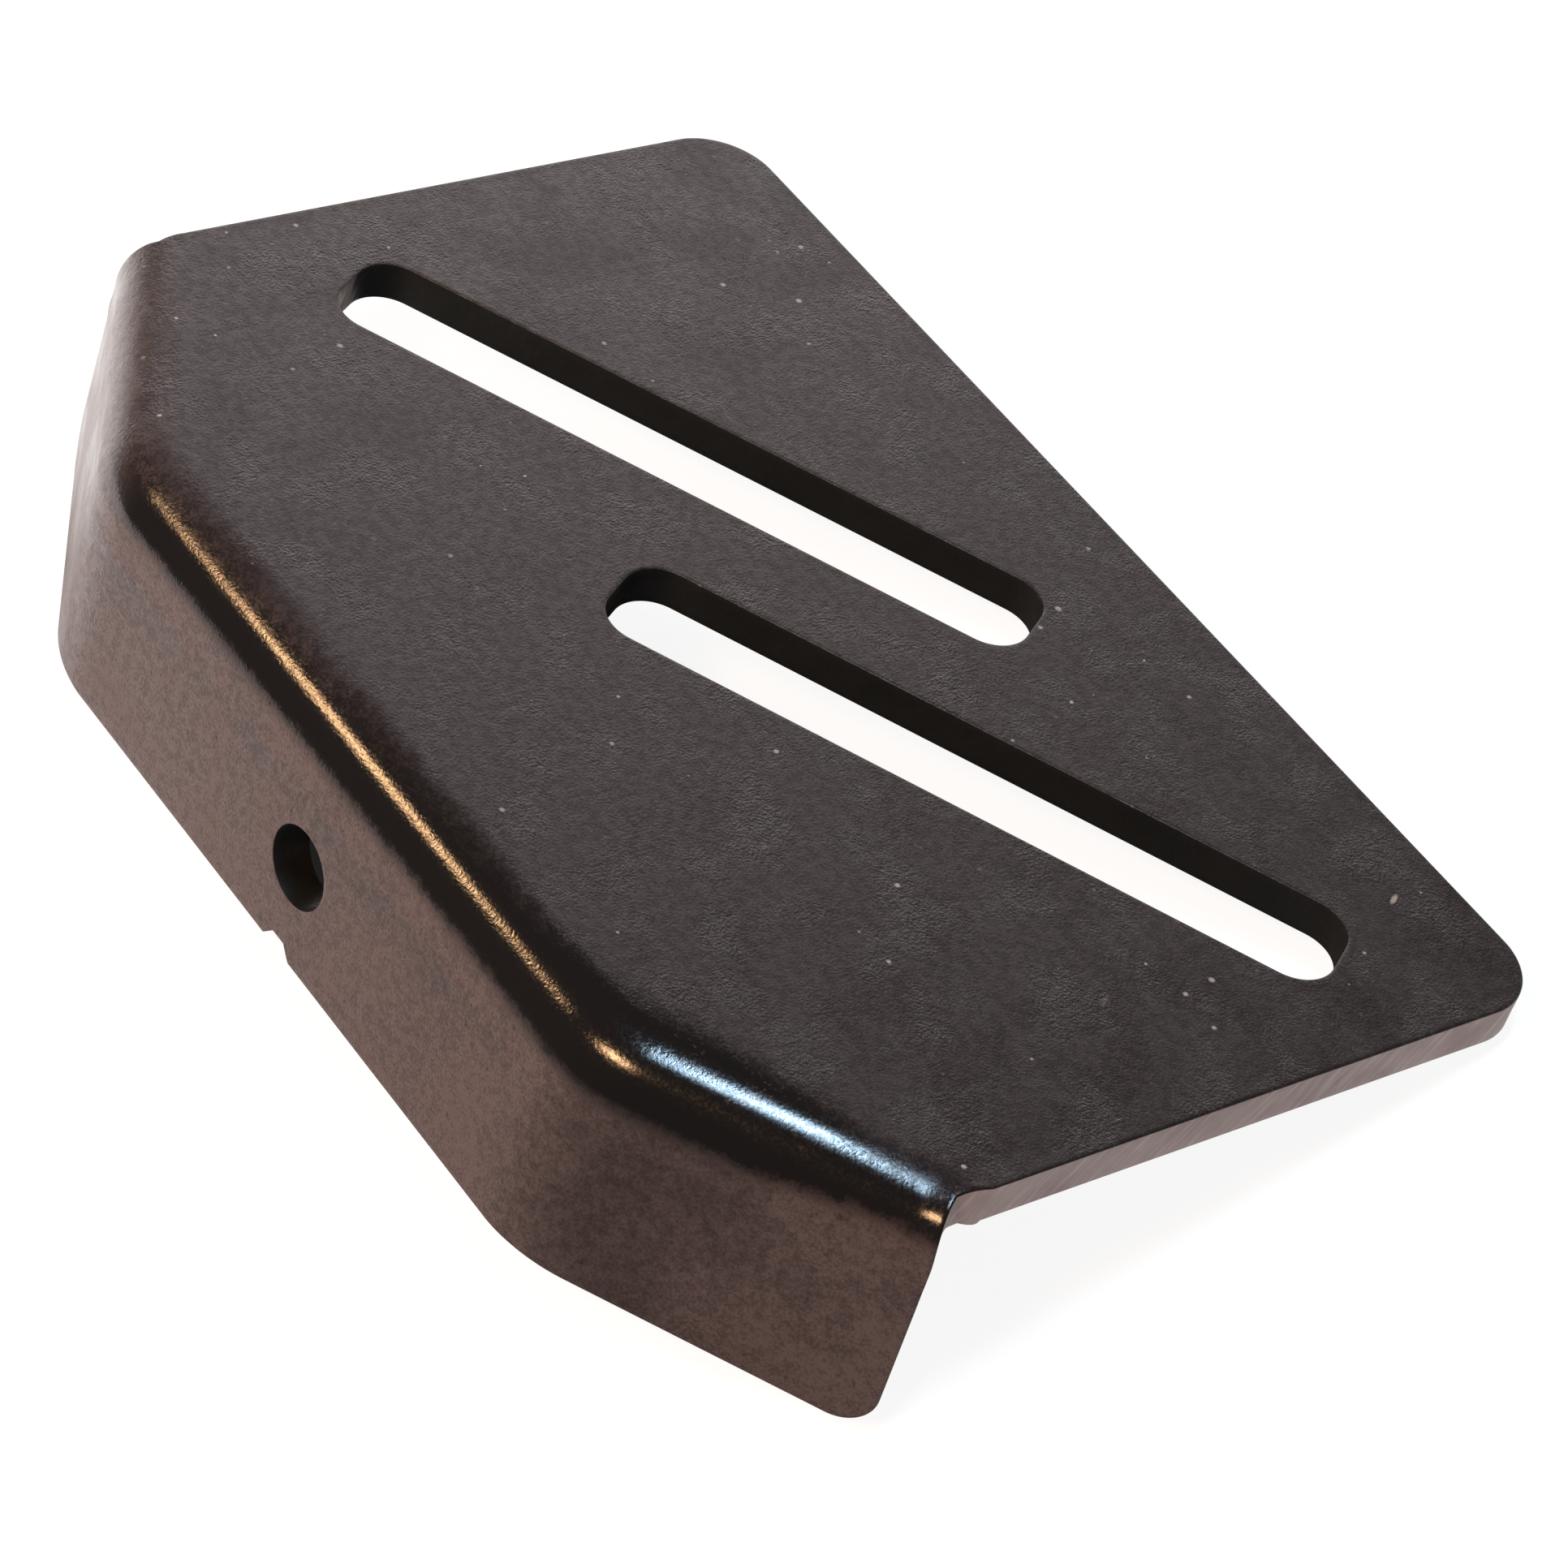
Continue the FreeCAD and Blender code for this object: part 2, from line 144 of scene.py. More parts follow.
@dataclass(frozen=True)
class RunnerLine:
    """The runner's outer line in plan: a straight middle, two rounded corners and two slanted facets."""

    sizes: SheetSizes

    @property
    def straight(self) -> float:
        """Distance along the line from the middle to the start of the corner."""
        return self.sizes.half_runner - self.sizes.runner_corner * math.tan(self.sizes.facet_angle / 2)

    @property
    def facet_start(self) -> float:
        """Distance along the line from the middle to the end of the corner."""
        return self.straight + self.sizes.runner_corner * self.sizes.facet_angle

    @property
    def end(self) -> float:
        """Distance along the line from the middle to the tip."""
        return self.meets_side(0.0, self.sizes.thickness + self.sizes.tip_relief)

    def meets_side(self, inset: float, behind: Array | float) -> Array | float:
        """Where a line parallel to the facet reaches the plate's side edge.

        A point of the facet lies at half_runner + run * cos(angle) - behind * sin(angle) in x, so the run
        follows from setting that to the side edge.

        Args:
            inset: Distance of the side line inside the plate's edge.
            behind: Distance of the parallel line behind the runner's outer line.

        Returns:
            Distance along the runner line, from the middle.
        """
        sizes = self.sizes
        angle = sizes.facet_angle
        run = (sizes.half_plate - inset - sizes.half_runner + behind * math.sin(angle)) / math.cos(angle)
        return self.facet_start + run - sizes.runner_corner * math.tan(angle / 2)

    def at(self, along: Array) -> tuple[Array, Array, Array]:
        """Point and heading at each distance along the line.

        The heading is the distance past the straight part over the corner's radius, held between zero and the
        facet's angle. The point is the straight part, plus the arc to that heading, plus what is left of the
        facet. The left half is the mirror of the right.

        Args:
            along: Signed distances from the middle.

        Returns:
            The x and y of each point, and its heading.
        """
        angle = self.sizes.facet_angle
        radius = self.sizes.runner_corner
        reach = np.abs(along)
        side = np.sign(along)
        heading = np.clip((reach - self.straight) / radius, 0.0, angle)
        facet = np.maximum(reach - self.facet_start, 0.0)
        x = np.minimum(reach, self.straight) + radius * np.sin(heading) + facet * math.cos(angle)
        y = radius * (1.0 - np.cos(heading)) + facet * math.sin(angle)
        return side * x, y, side * heading


@dataclass
class Surface:
    """A piece of mesh as whole arrays."""

    points: Array
    across: Array
    faces: Array
    finishes: Array


def count(length: float, step: float) -> int:
    """Return how many steps a length takes, at least two."""
    return max(2, round(length / step))


def run(start: float, stop: float, steps: int) -> Array:
    """Return evenly spaced values from start, without the last one."""
    return np.linspace(start, stop, steps, endpoint=False)


def bell(distance: Array, width: float) -> Array:
    """Return a bell curve: one at no distance, falling to one part in e at the width."""
    return np.exp(-((distance / width) ** 2))


def lobe(share: Array, power: int) -> Array:
    """Return share ** power * (1 - share), scaled so that its peak is one."""
    return share ** power * (1.0 - share) * (power + 1) ** (power + 1) / power ** power


def ripple(length: int, blur: float, seed: int) -> Array:
    """Return a closed row of smooth random values with unit spread.

    White noise is multiplied in the frequency domain by a bell curve, which blurs it by so many samples.

    Args:
        length: How many values the row has.
        blur: Width of the blur, in samples.
        seed: Seed of the random draw.

    Returns:
        The values, with mean zero.
    """
    noise = np.random.default_rng(seed).normal(size=length)
    pitch = np.fft.rfftfreq(length)
    smooth = np.fft.irfft(np.fft.rfft(noise) * np.exp(-2.0 * (math.pi * pitch * blur) ** 2), length)
    smooth -= smooth.mean()
    return smooth / smooth.std()


def triangulate(loops: list[Array], inner: Array, kept: Callable[[Array], Array]) -> tuple[Array, Array]:
    """Fill a flat region with triangles through its loops and its inner points (constrained Delaunay).

    Args:
        loops: Closed loops of points, the outer one first.
        inner: Points inside the region.
        kept: Tells which triangle centres are inside the region, and not in a hole.

    Returns:
        The points, and the triangles as rows of point numbers, anticlockwise.
    """
    starts = np.cumsum([0] + [len(loop) for loop in loops[:-1]])
    rings = [np.arange(len(loop)) + start for loop, start in zip(loops, starts)]
    edges = np.concatenate([np.stack([ring, np.roll(ring, -1)], axis=1) for ring in rings])
    given = np.concatenate([*loops, inner])
    made = delaunay_2d_cdt(given.tolist(), edges.tolist(), [], 1, 1e-9)
    points = np.array(made[0], dtype=float)
    triangles = np.array(made[2])
    corner = points[triangles]
    triangles = triangles[kept(corner.mean(axis=1))]
    first, second, third = np.moveaxis(points[triangles], 1, 0)
    turn = np.cross(second - first, third - first)
    return points, np.where((turn > 0)[:, None], triangles, triangles[:, ::-1])


@dataclass
class SkidShoe:
    """The whole shoe: a sheet with an outline, slots and a hole, folded by a formula."""

    sizes: SheetSizes = field(default_factory=SheetSizes)
    name: str = "folded_shoe"
    rim_step: float = 0.3 * MILLIMETRE
    slot_step: float = 0.4 * MILLIMETRE
    skin_step: float = 2.0 * MILLIMETRE
    flange_step: float = 1.2 * MILLIMETRE
    line_step: float = 1.0 * MILLIMETRE
    bend_rows: int = 24
    round_rows: int = 5
    wall_rows: int = 7
    support: float = 0.15 * MILLIMETRE
    skin_margin: float = 0.7 * MILLIMETRE
    cut_relief: float = 0.02 * MILLIMETRE
    cut_blur: float = 1.2
    cut_slant: float = -0.6
    outer_edge: float = 0.2 * MILLIMETRE
    slot_edge: float = 0.15 * MILLIMETRE
    hole_edge: float = 0.08 * MILLIMETRE
    burr: float = 0.12 * MILLIMETRE
    left_in: float = 1.1 * MILLIMETRE
    end_reach: float = 4.0 * MILLIMETRE
    end_draw: float = 0.9 * MILLIMETRE
    left_draw: float = -0.3 * MILLIMETRE
    end_bulge: float = 0.5 * MILLIMETRE
    end_flare: float = 0.4 * MILLIMETRE
    flare_reach: float = 2.2 * MILLIMETRE
    end_lean: float = 1.0 * MILLIMETRE
    end_square: float = 0.6
    end_back: float = 0.38 * MILLIMETRE
    crease: float = 0.12 * MILLIMETRE
    crease_place: float = -2.8 * MILLIMETRE
    crease_width: float = 1.3 * MILLIMETRE
    crease_rows: float = -7.0 * MILLIMETRE
    crease_step: float = 0.4 * MILLIMETRE
    outer_seed: int = 3
    slot_seed: int = 5
    hole_seed: int = 11
    merge_distance: float = 0.006 * MILLIMETRE
    sharp_angle: float = math.radians(35.0)

    def __post_init__(self) -> None:
        """Lay out the runner line and the sheet's own axes, as the frame has them."""
        self.line = RunnerLine(self.sizes)
        face = next(item for item in frame["record"]["mounts"] if item["name"] == "plate_face")
        normal = Vector(face["axis"]).normalized()
        across = normal.cross(Vector((1.0, 0.0, 0.0))).normalized()
        start = Vector(face["pos_m"]) - across * self.sizes.slot_offset
        lean = math.atan2(normal.y, normal.z)
        self.lie = Matrix.Translation(start) @ Matrix.Rotation(-lean, 4, "X")

    @property
    def skin_inset(self) -> float:
        """Distance inside the outline at which the skins end and the rims begin."""
        return self.sizes.edge_break + self.support

    def flat(self, x: Array, y: Array, depth: float) -> Array:
        """Points of the plate, at a depth below its outer face."""
        return np.stack([x, y, np.full_like(x, -depth)], axis=-1)

    def folded(self, along: Array, across: Array, depth: float) -> Array:
        """Points of the bend and the flange.

        Across counts from the bend's lower end: below zero it goes straight down the flange, and above zero
        it is the bend's outer arc. The bend turns about a line that lies one outer radius behind and below
        the runner's outer line, so a point at some depth sits on an arc of that much less radius.

        Near the sheet's two ends, fading inwards as a bell curve, the bend's outer face is drawn in on the
        right and let out on the left, and its inner face bulges out. The inner face stops short on the
        flange, and its arc is squarer: its sine and cosine are raised to a power below one. The bend flares
        out at the right end. A faint ridge, a bell curve too, runs along the flange's top.

        Args:
            along: Distances along the runner line.
            across: Distances across the fold, on the outer face.
            depth: Depth below the outer face.

        Returns:
            The points, as rows of x, y and z.
        """
        sizes = self.sizes
        angle = np.clip(across / sizes.bend_outer, 0.0, math.pi / 2)
        turned = 2.0 * angle / math.pi
        inner = depth / sizes.thickness
        near = bell(self.line.end - np.abs(along), self.end_reach)
        draw = np.where(along > 0.0, self.end_draw, self.left_draw)
        shift = lobe(turned, 2) * draw * (1.0 - inner) - lobe(turned, 3) * self.end_bulge * inner
        shift = shift + self.end_lean * inner * (1.0 - turned ** 2)
        x, y, heading = self.line.at(along - np.sign(along) * near * shift)
        flare = self.end_flare * bell(self.line.end - along, self.flare_reach)
        radius = sizes.bend_outer - depth + lobe(turned, 1) * flare
        power = 1.0 - self.end_square * inner * near
        ridge = self.crease * (1.0 - inner) * bell(across - self.crease_place, self.crease_width)
        behind = sizes.bend_outer - radius * np.cos(angle) ** power - ridge
        height = radius * np.sin(angle) ** power - sizes.bend_outer + np.minimum(across, 0.0)
        return np.stack([x - behind * np.sin(heading), y + behind * np.cos(heading), height], axis=-1)

    def plate_across(self, x: Array, y: Array) -> Array:
        """Distance across the sheet of plate points, counted on from the end of the bend.

        The nearest point of the runner line has the heading that the point makes with the corner's centre,
        held between zero and the facet's angle. The distance behind the line is the corner's radius less the
        way from the centre along that heading.

        Args:
            x: Distances along the runner.
            y: Distances from the runner's outer face.

        Returns:
            The distances across.
        """
        radius = self.sizes.runner_corner
        side, ahead = np.abs(x) - self.line.straight, radius - y
        heading = np.clip(np.arctan2(side, ahead), 0.0, self.sizes.facet_angle)
        behind = radius - side * np.sin(heading) - ahead * np.cos(heading)
        return behind - self.sizes.bend_outer + self.sizes.bend_arc

    def bend_at_side(self, inset: float) -> float:
        """Where the bend starts on a line inside the plate's side edge, as a distance y.

        Args:
            inset: Distance of the line inside the side edge.

        Returns:
            The distance.
        """
        sizes = self.sizes
        past = sizes.half_plate - inset - sizes.half_runner
        return (sizes.bend_outer + past * math.sin(sizes.facet_angle)) / math.cos(sizes.facet_angle)

    def bend_at_end(self, inset: float) -> float:
        """Bend angle at which the side edge's line turns into the flange's end.

        Args:
            inset: Distance inside the true outline.

        Returns:
            The angle, from the flange.
        """
        sizes = self.sizes
        angle = sizes.facet_angle
        land = sizes.thickness + sizes.tip_relief - self.end_back / math.tan(angle)
        return math.acos(1.0 - (land + inset * math.tan(angle / 2)) / sizes.bend_outer)

    def half_plate_outline(self, inset: float) -> Array:
        """Right half of the plate's outline: free edge, rounded corner, side edge.

        Args:
            inset: Distance inside the true outline.

        Returns:
            Rows of x and y, from the middle of the free edge to just short of the bend.
        """
        sizes = self.sizes
        radius = sizes.plate_corner
        centre_x = sizes.half_plate - radius
        centre_y = sizes.plate_depth - radius
        side = sizes.half_plate - inset
        turn = run(math.pi / 2, 0.0, count(radius * math.pi / 2, self.rim_step))
        steps = count(centre_y - self.bend_at_side(0.0), self.rim_step)
        down = run(centre_y, self.bend_at_side(inset), steps)
        edge = run(0.0, centre_x, count(centre_x, self.rim_step))
        x = [edge, centre_x + (radius - inset) * np.cos(turn), np.full_like(down, side)]
        y = [np.full_like(edge, sizes.plate_depth - inset), centre_y + (radius - inset) * np.sin(turn), down]
        return np.stack([np.concatenate(x), np.concatenate(y)], axis=1)

    def half_fold_outline(self, inset: float) -> Array:
        """Right half of the fold's outline.

        It goes down the bend's side edge and end, the flange's end and tip, the lower edge and the notch.

        Args:
            inset: Distance inside the true outline.

        Returns:
            Rows of distance along and across, from the end of the plate to the middle of the notch.
        """
        sizes = self.sizes
        bend = sizes.bend_outer
        tip = sizes.tip_corner
        low = -sizes.drop
        high = self.line.end - self.end_back - inset
        tip_along = self.line.end - tip
        meet = self.bend_at_end(inset)
        side = run(math.pi / 2, meet, count(bend * (math.pi / 2 - self.bend_at_end(0.0)), self.rim_step))
        over = run(meet, 0.0, count(bend * self.bend_at_end(0.0), self.rim_step))
        down = run(0.0, low + tip, count(sizes.drop - tip, self.rim_step))
        turn = run(0.0, -math.pi / 2, count(tip * math.pi / 2, self.rim_step))
        slope = math.atan2(sizes.notch_mouth / 2 - sizes.notch_floor / 2, sizes.notch_depth)
        mouth = sizes.notch_mouth / 2 + inset * (1.0 - math.sin(slope)) / math.cos(slope)
        floor = mouth - sizes.notch_depth * math.tan(slope)
        edge = run(tip_along, mouth, count(tip_along, self.rim_step))
        climb = run(0.0, 1.0, count(sizes.notch_depth, self.rim_step))
        top = np.linspace(floor, 0.0, count(sizes.notch_floor, self.rim_step))
        along = [self.line.meets_side(inset, bend * (1.0 - np.cos(side))), np.full_like(over, high),
                 run(high, tip_along + tip - inset, len(down)), tip_along + (tip - inset) * np.cos(turn),
                 edge, mouth + climb * (floor - mouth), top]
        across = [bend * side, bend * over, down, low + tip + (tip - inset) * np.sin(turn),
                  np.full_like(edge, low + inset), low + inset + climb * sizes.notch_depth,
                  np.full_like(top, low + inset + sizes.notch_depth)]
        return np.stack([np.concatenate(along), np.concatenate(across)], axis=1)

    def slot_outline(self, centre_x: float, grow: float) -> Array:
        """One slot: a long box with rounded corners, turned by its slant.

        Args:
            centre_x: Where the slot's middle lies along the runner.
            grow: How far outside the true outline.

        Returns:
            Rows of x and y, anticlockwise.
        """
        sizes = self.sizes
        corner = sizes.slot_corner
        flat_x = sizes.slot_length / 2 - corner
        flat_y = sizes.slot_width / 2 - corner
        radius = corner + grow
        quarter = math.pi / 2
        steps = count(corner * quarter, self.slot_step)
        turns = [run(turn * quarter, (turn + 1) * quarter, steps) for turn in range(4)]
        long_side = run(flat_x, -flat_x, count(2 * flat_x, self.slot_step))
        short_side = run(flat_y, -flat_y, count(2 * flat_y, self.slot_step))
        x = [flat_x + radius * np.cos(turns[0]), long_side, -flat_x + radius * np.cos(turns[1]),
             np.full_like(short_side, -flat_x - radius), -flat_x + radius * np.cos(turns[2]), -long_side,
             flat_x + radius * np.cos(turns[3]), np.full_like(short_side, flat_x + radius)]
        y = [flat_y + radius * np.sin(turns[0]), np.full_like(long_side, flat_y + radius),
             flat_y + radius * np.sin(turns[1]), short_side, -flat_y + radius * np.sin(turns[2]),
             np.full_like(long_side, -flat_y - radius), -flat_y + radius * np.sin(turns[3]), -short_side]
        x, y = np.concatenate(x), np.concatenate(y)
        cos, sin = math.cos(sizes.slot_angle), math.sin(sizes.slot_angle)
        return np.stack([centre_x + x * cos - y * sin, sizes.slot_offset + x * sin + y * cos], axis=1)

    def hole_outline(self, grow: float) -> Array:
        """The round hole in the runner, as rows of distance along and across, anticlockwise.

        Args:
            grow: How far outside the true outline.

        Returns:
            The rows.
        """
        sizes = self.sizes
        turn = run(0.0, 2 * math.pi, count(2 * math.pi * sizes.hole_radius, self.rim_step))
        radius = sizes.hole_radius + grow
        middle = sizes.bend_outer - sizes.hole_drop
        return np.stack([radius * np.cos(turn), middle + radius * np.sin(turn)], axis=1)

    def slot_centres(self) -> tuple[float, float]:
        """Where the two slots' middles lie along the runner."""
        return -self.sizes.slot_pitch / 2, self.sizes.slot_pitch / 2

    def profile(self, edge: float) -> Array:
        """Section across a cut edge: a support row, a quarter round, the cut wall, and a small quarter round.

        Args:
            edge: Radius of the outer round.

        Returns:
            Rows of inset and depth, from the outer skin to the inner one.
        """
        sizes = self.sizes
        turn = np.linspace(0.0, math.pi / 2, self.round_rows)
        inset = 1.0 - np.sin(turn)
        depth = 1.0 - np.cos(turn)
        wall = np.linspace(edge, sizes.thickness - self.burr, self.wall_rows)[1:-1]
        support = [self.skin_inset]
        insets = [support, edge * inset, np.zeros_like(wall), self.burr * inset[::-1], support]
        depths = [[0.0], edge * depth, wall, sizes.thickness - self.burr * depth[::-1], [sizes.thickness]]
        return np.stack([np.concatenate(insets), np.concatenate(depths)], axis=1)

    def rim(self, loop: Loop, step: float, seed: int, wall_finish: Finish, edge: float) -> Surface:
        """Carry the edge's section along a closed loop, and score its wall with the marks of cutting.

        The marks are a row of smooth random values along the loop, shifted from row to row so that they
        slant, and strongest half way through the sheet. They only cut in.

        Args:
            loop: Gives the loop's points and their distance across, for an inset and a depth.
            step: Distance between the loop's points.
            seed: Seed of the marks.
            wall_finish: Finish of the cut wall.
            edge: Radius of the outer edge's round.

        Returns:
            The rim as a grid of four-sided faces.
        """
        profile = self.profile(edge)
        nudge = self.sizes.edge_break
        rows = [loop(inset, depth) for inset, depth in profile]
        points = np.stack([row[0] for row in rows])
        across = np.stack([row[1] for row in rows])
        total = points.shape[1]
        marks = ripple(total, self.cut_blur, seed)
        place = np.arange(total)
        shift = profile[:, 1] * self.cut_slant / step
        slanted = np.interp(place[None, :] + shift[:, None], place, marks, period=total)
        share = np.clip((profile[:, 1] - nudge) / (self.sizes.thickness - 2 * nudge), 0.0, 1.0)
        strength = np.where(profile[:, 0] > 0.0, 0.0, np.sin(math.pi * share))
        inward = np.stack([loop(nudge, depth)[0] - loop(0.0, depth)[0] for depth in profile[:, 1]])
        inward /= np.linalg.norm(inward, axis=-1, keepdims=True)
        cut = self.cut_relief * strength[:, None] * np.maximum(slanted + 1.0, 0.0)
        points = points + inward * cut[..., None]
        number = np.arange(points.shape[0] * total).reshape(-1, total)
        after = np.roll(number, -1, axis=1)
        faces = np.stack([number[:-1], after[:-1], after[1:], number[1:]], axis=-1)
        wall = (profile[:-1, 0] + profile[1:, 0]) <= 0.0
        finishes = np.where(wall, wall_finish.value, Finish.COAT.value)[:, None].repeat(total, axis=1)
        return Surface(points.reshape(-1, 3), across.ravel(), faces.reshape(-1, 4), finishes.ravel())

    def outer_loop(self, inset: float, depth: float) -> tuple[Array, Array]:
        """The sheet's whole outline, folded: the right half, then the left half backwards.

        Args:
            inset: Distance inside the true outline.
            depth: Depth below the outer face.

        Returns:
            The points, and their distance across.
        """
        plate = self.half_plate_outline(inset)
        fold = self.half_fold_outline(inset)
        right = np.concatenate([self.flat(*plate.T, depth), self.folded(*fold.T, depth)])
        across = np.concatenate([self.plate_across(*plate.T), fold[:, 1]])
        mirror = np.array([-1.0, 1.0])
        left = np.concatenate([self.flat(*(plate * mirror).T, depth),
                               self.folded(*(fold * mirror).T, depth)])
        return np.concatenate([right, left[-2:0:-1]]), np.concatenate([across, across[-2:0:-1]])

    def slot_loop(self, centre_x: float) -> Loop:
        """Return the loop of one slot, for the rim.

        Args:
            centre_x: Where the slot's middle lies along the runner.

        Returns:
            The loop.
        """
        def loop(inset: float, depth: float) -> tuple[Array, Array]:
            """Points of the slot's outline and their distance across."""
            outline = self.slot_outline(centre_x, inset)
            return self.flat(*outline.T, depth), self.plate_across(*outline.T)
        return loop

    def hole_loop(self, inset: float, depth: float) -> tuple[Array, Array]:
        """Points of the hole's outline and their distance across, for the rim."""
        outline = self.hole_outline(inset)
        return self.folded(*outline.T, depth), outline[:, 1]

    def junction(self) -> Array:
        """Distances along the runner line where plate and bend meet, from the right side edge to the left."""
        reach = self.line.meets_side(self.skin_inset, self.sizes.bend_outer)
        return np.linspace(reach, -reach, count(2 * reach, self.line_step))

    def in_slot(self, points: Array, margin: float) -> Array:
        """Tell which plate points lie in a slot, or within a margin of one.

        In each slot's own axes, a point is inside if its distance from the box that the corners' centres make
        is less than the corner's radius plus the margin.

        Args:
            points: Rows of x and y.
            margin: Distance outside the slot's outline.

        Returns:
            True for each point inside.
        """
        sizes = self.sizes
        corner = sizes.slot_corner
        cos, sin = math.cos(sizes.slot_angle), math.sin(sizes.slot_angle)
        inside = np.zeros(len(points), dtype=bool)
        for centre_x in self.slot_centres():
            x, y = points[:, 0] - centre_x, points[:, 1] - sizes.slot_offset
            past_x = np.maximum(np.abs(x * cos + y * sin) - sizes.slot_length / 2 + corner, 0.0)
            past_y = np.maximum(np.abs(y * cos - x * sin) - sizes.slot_width / 2 + corner, 0.0)
            inside |= np.hypot(past_x, past_y) < corner + margin
        return inside

    def plate_skin(self) -> tuple[Array, Array]:
        """Fill the plate between its outline, the start of the bend and the slots.

        Returns:
            Rows of x and y, and the triangles.
        """
        sizes = self.sizes
        inset = self.skin_inset
        half = self.half_plate_outline(inset)
        seam = self.junction()
        bend = self.folded(seam, np.full_like(seam, sizes.bend_arc), 0.0)
        outline = np.concatenate([half, bend[:, :2], half[-1:0:-1] * (-1.0, 1.0)])
        slots = [self.slot_outline(centre_x, inset) for centre_x in self.slot_centres()]
        x = np.arange(-sizes.half_plate, sizes.half_plate, self.skin_step)
        y = np.arange(0.0, sizes.plate_depth, self.skin_step)
        grid = np.stack(np.meshgrid(x, y), axis=-1).reshape(-1, 2)
        clear = inset + self.skin_margin
        angle = sizes.facet_angle
        beside, back = np.abs(grid[:, 0]), grid[:, 1]
        from_facet = back * math.cos(angle) - (beside - sizes.half_runner) * math.sin(angle)
        behind = np.minimum(back, from_facet) - sizes.bend_outer
        past = np.maximum(beside - sizes.half_plate, back - sizes.plate_depth)
        far = np.maximum(np.abs(beside - sizes.half_plate), np.abs(back - sizes.plate_depth))
        good = (behind > clear) & (past < -clear) & (far >= sizes.plate_corner) & ~self.in_slot(grid, clear)
        return triangulate([outline, *slots], grid[good], lambda centres: ~self.in_slot(centres, inset))

    def fold_skin(self) -> tuple[Array, Array]:
        """Fill the bend and the flange between their outline, the start of the plate and the hole.

        Returns:
            Rows of distance along and across, and the triangles.
        """
        sizes = self.sizes
        inset = self.skin_inset
        top = sizes.bend_arc
        half = self.half_fold_outline(inset)
        seam = self.junction()[::-1]
        bend = np.stack([seam, np.full_like(seam, top)], axis=1)
        outline = np.concatenate([half[1:], half[-2:0:-1] * (-1.0, 1.0), bend])
        hole = self.hole_outline(inset)
        columns = np.linspace(-self.line.end, self.line.end, count(2 * self.line.end, self.line_step))
        low = run(-sizes.drop, self.crease_rows, count(sizes.drop + self.crease_rows, self.flange_step))
        high = run(self.crease_rows, 0.0, count(-self.crease_rows, self.crease_step))
        rows = np.concatenate([low, high, np.linspace(0.0, top, self.bend_rows)[:-1]])
        grid = np.stack(np.meshgrid(columns, rows), axis=-1).reshape(-1, 2)
        along, across = np.abs(grid[:, 0]), grid[:, 1]
        clear = inset + self.skin_margin
        low = across + sizes.drop
        end = self.line.end - self.end_back
        tip = np.hypot(np.maximum(along - end + sizes.tip_corner, 0.0),
                       np.maximum(sizes.tip_corner - low, 0.0))
        notch = (along < sizes.notch_mouth / 2 + clear) & (low < sizes.notch_depth + clear)
        middle = np.array([0.0, sizes.bend_outer - sizes.hole_drop])
        from_hole = np.linalg.norm(grid - middle, axis=1) - sizes.hole_radius
        good = (along < end - clear) & (low > clear) & (tip < sizes.tip_corner - clear)
        good &= ~notch & (from_hole > clear)

        def kept(centres: Array) -> Array:
            """Tell which triangles lie outside the hole."""
            return np.linalg.norm(centres - middle, axis=1) > sizes.hole_radius + inset
        return triangulate([outline, hole], grid[good], kept)

    def surfaces(self) -> list[Surface]:
        """Work out every piece of the shoe's skin and rims.

        Returns:
            The two skins of plate and fold, and the rims of the outline, the slots and the hole.
        """
        plate, plate_faces = self.plate_skin()
        fold, fold_faces = self.fold_skin()
        coat = Finish.COAT.value
        punched = Finish.PUNCHED_WALL
        made = []
        for skin in Skin:
            depth = 0.0 if skin is Skin.OUTER else self.sizes.thickness
            order = 1 if skin is Skin.OUTER else -1
            made.append(Surface(self.flat(*plate.T, depth), self.plate_across(*plate.T),
                                plate_faces[:, ::order], np.full(len(plate_faces), coat)))
            made.append(Surface(self.folded(*fold.T, depth), fold[:, 1],
                                fold_faces[:, ::order], np.full(len(fold_faces), coat)))
        made.append(self.rim(self.outer_loop, self.rim_step, self.outer_seed, Finish.SHEARED_EDGE,
                             self.outer_edge))
        for seed, centre_x in enumerate(self.slot_centres(), start=self.slot_seed):
            made.append(self.rim(self.slot_loop(centre_x), self.slot_step, seed, punched, self.slot_edge))
        made.append(self.rim(self.hole_loop, self.rim_step, self.hole_seed, punched, self.hole_edge))
        return made

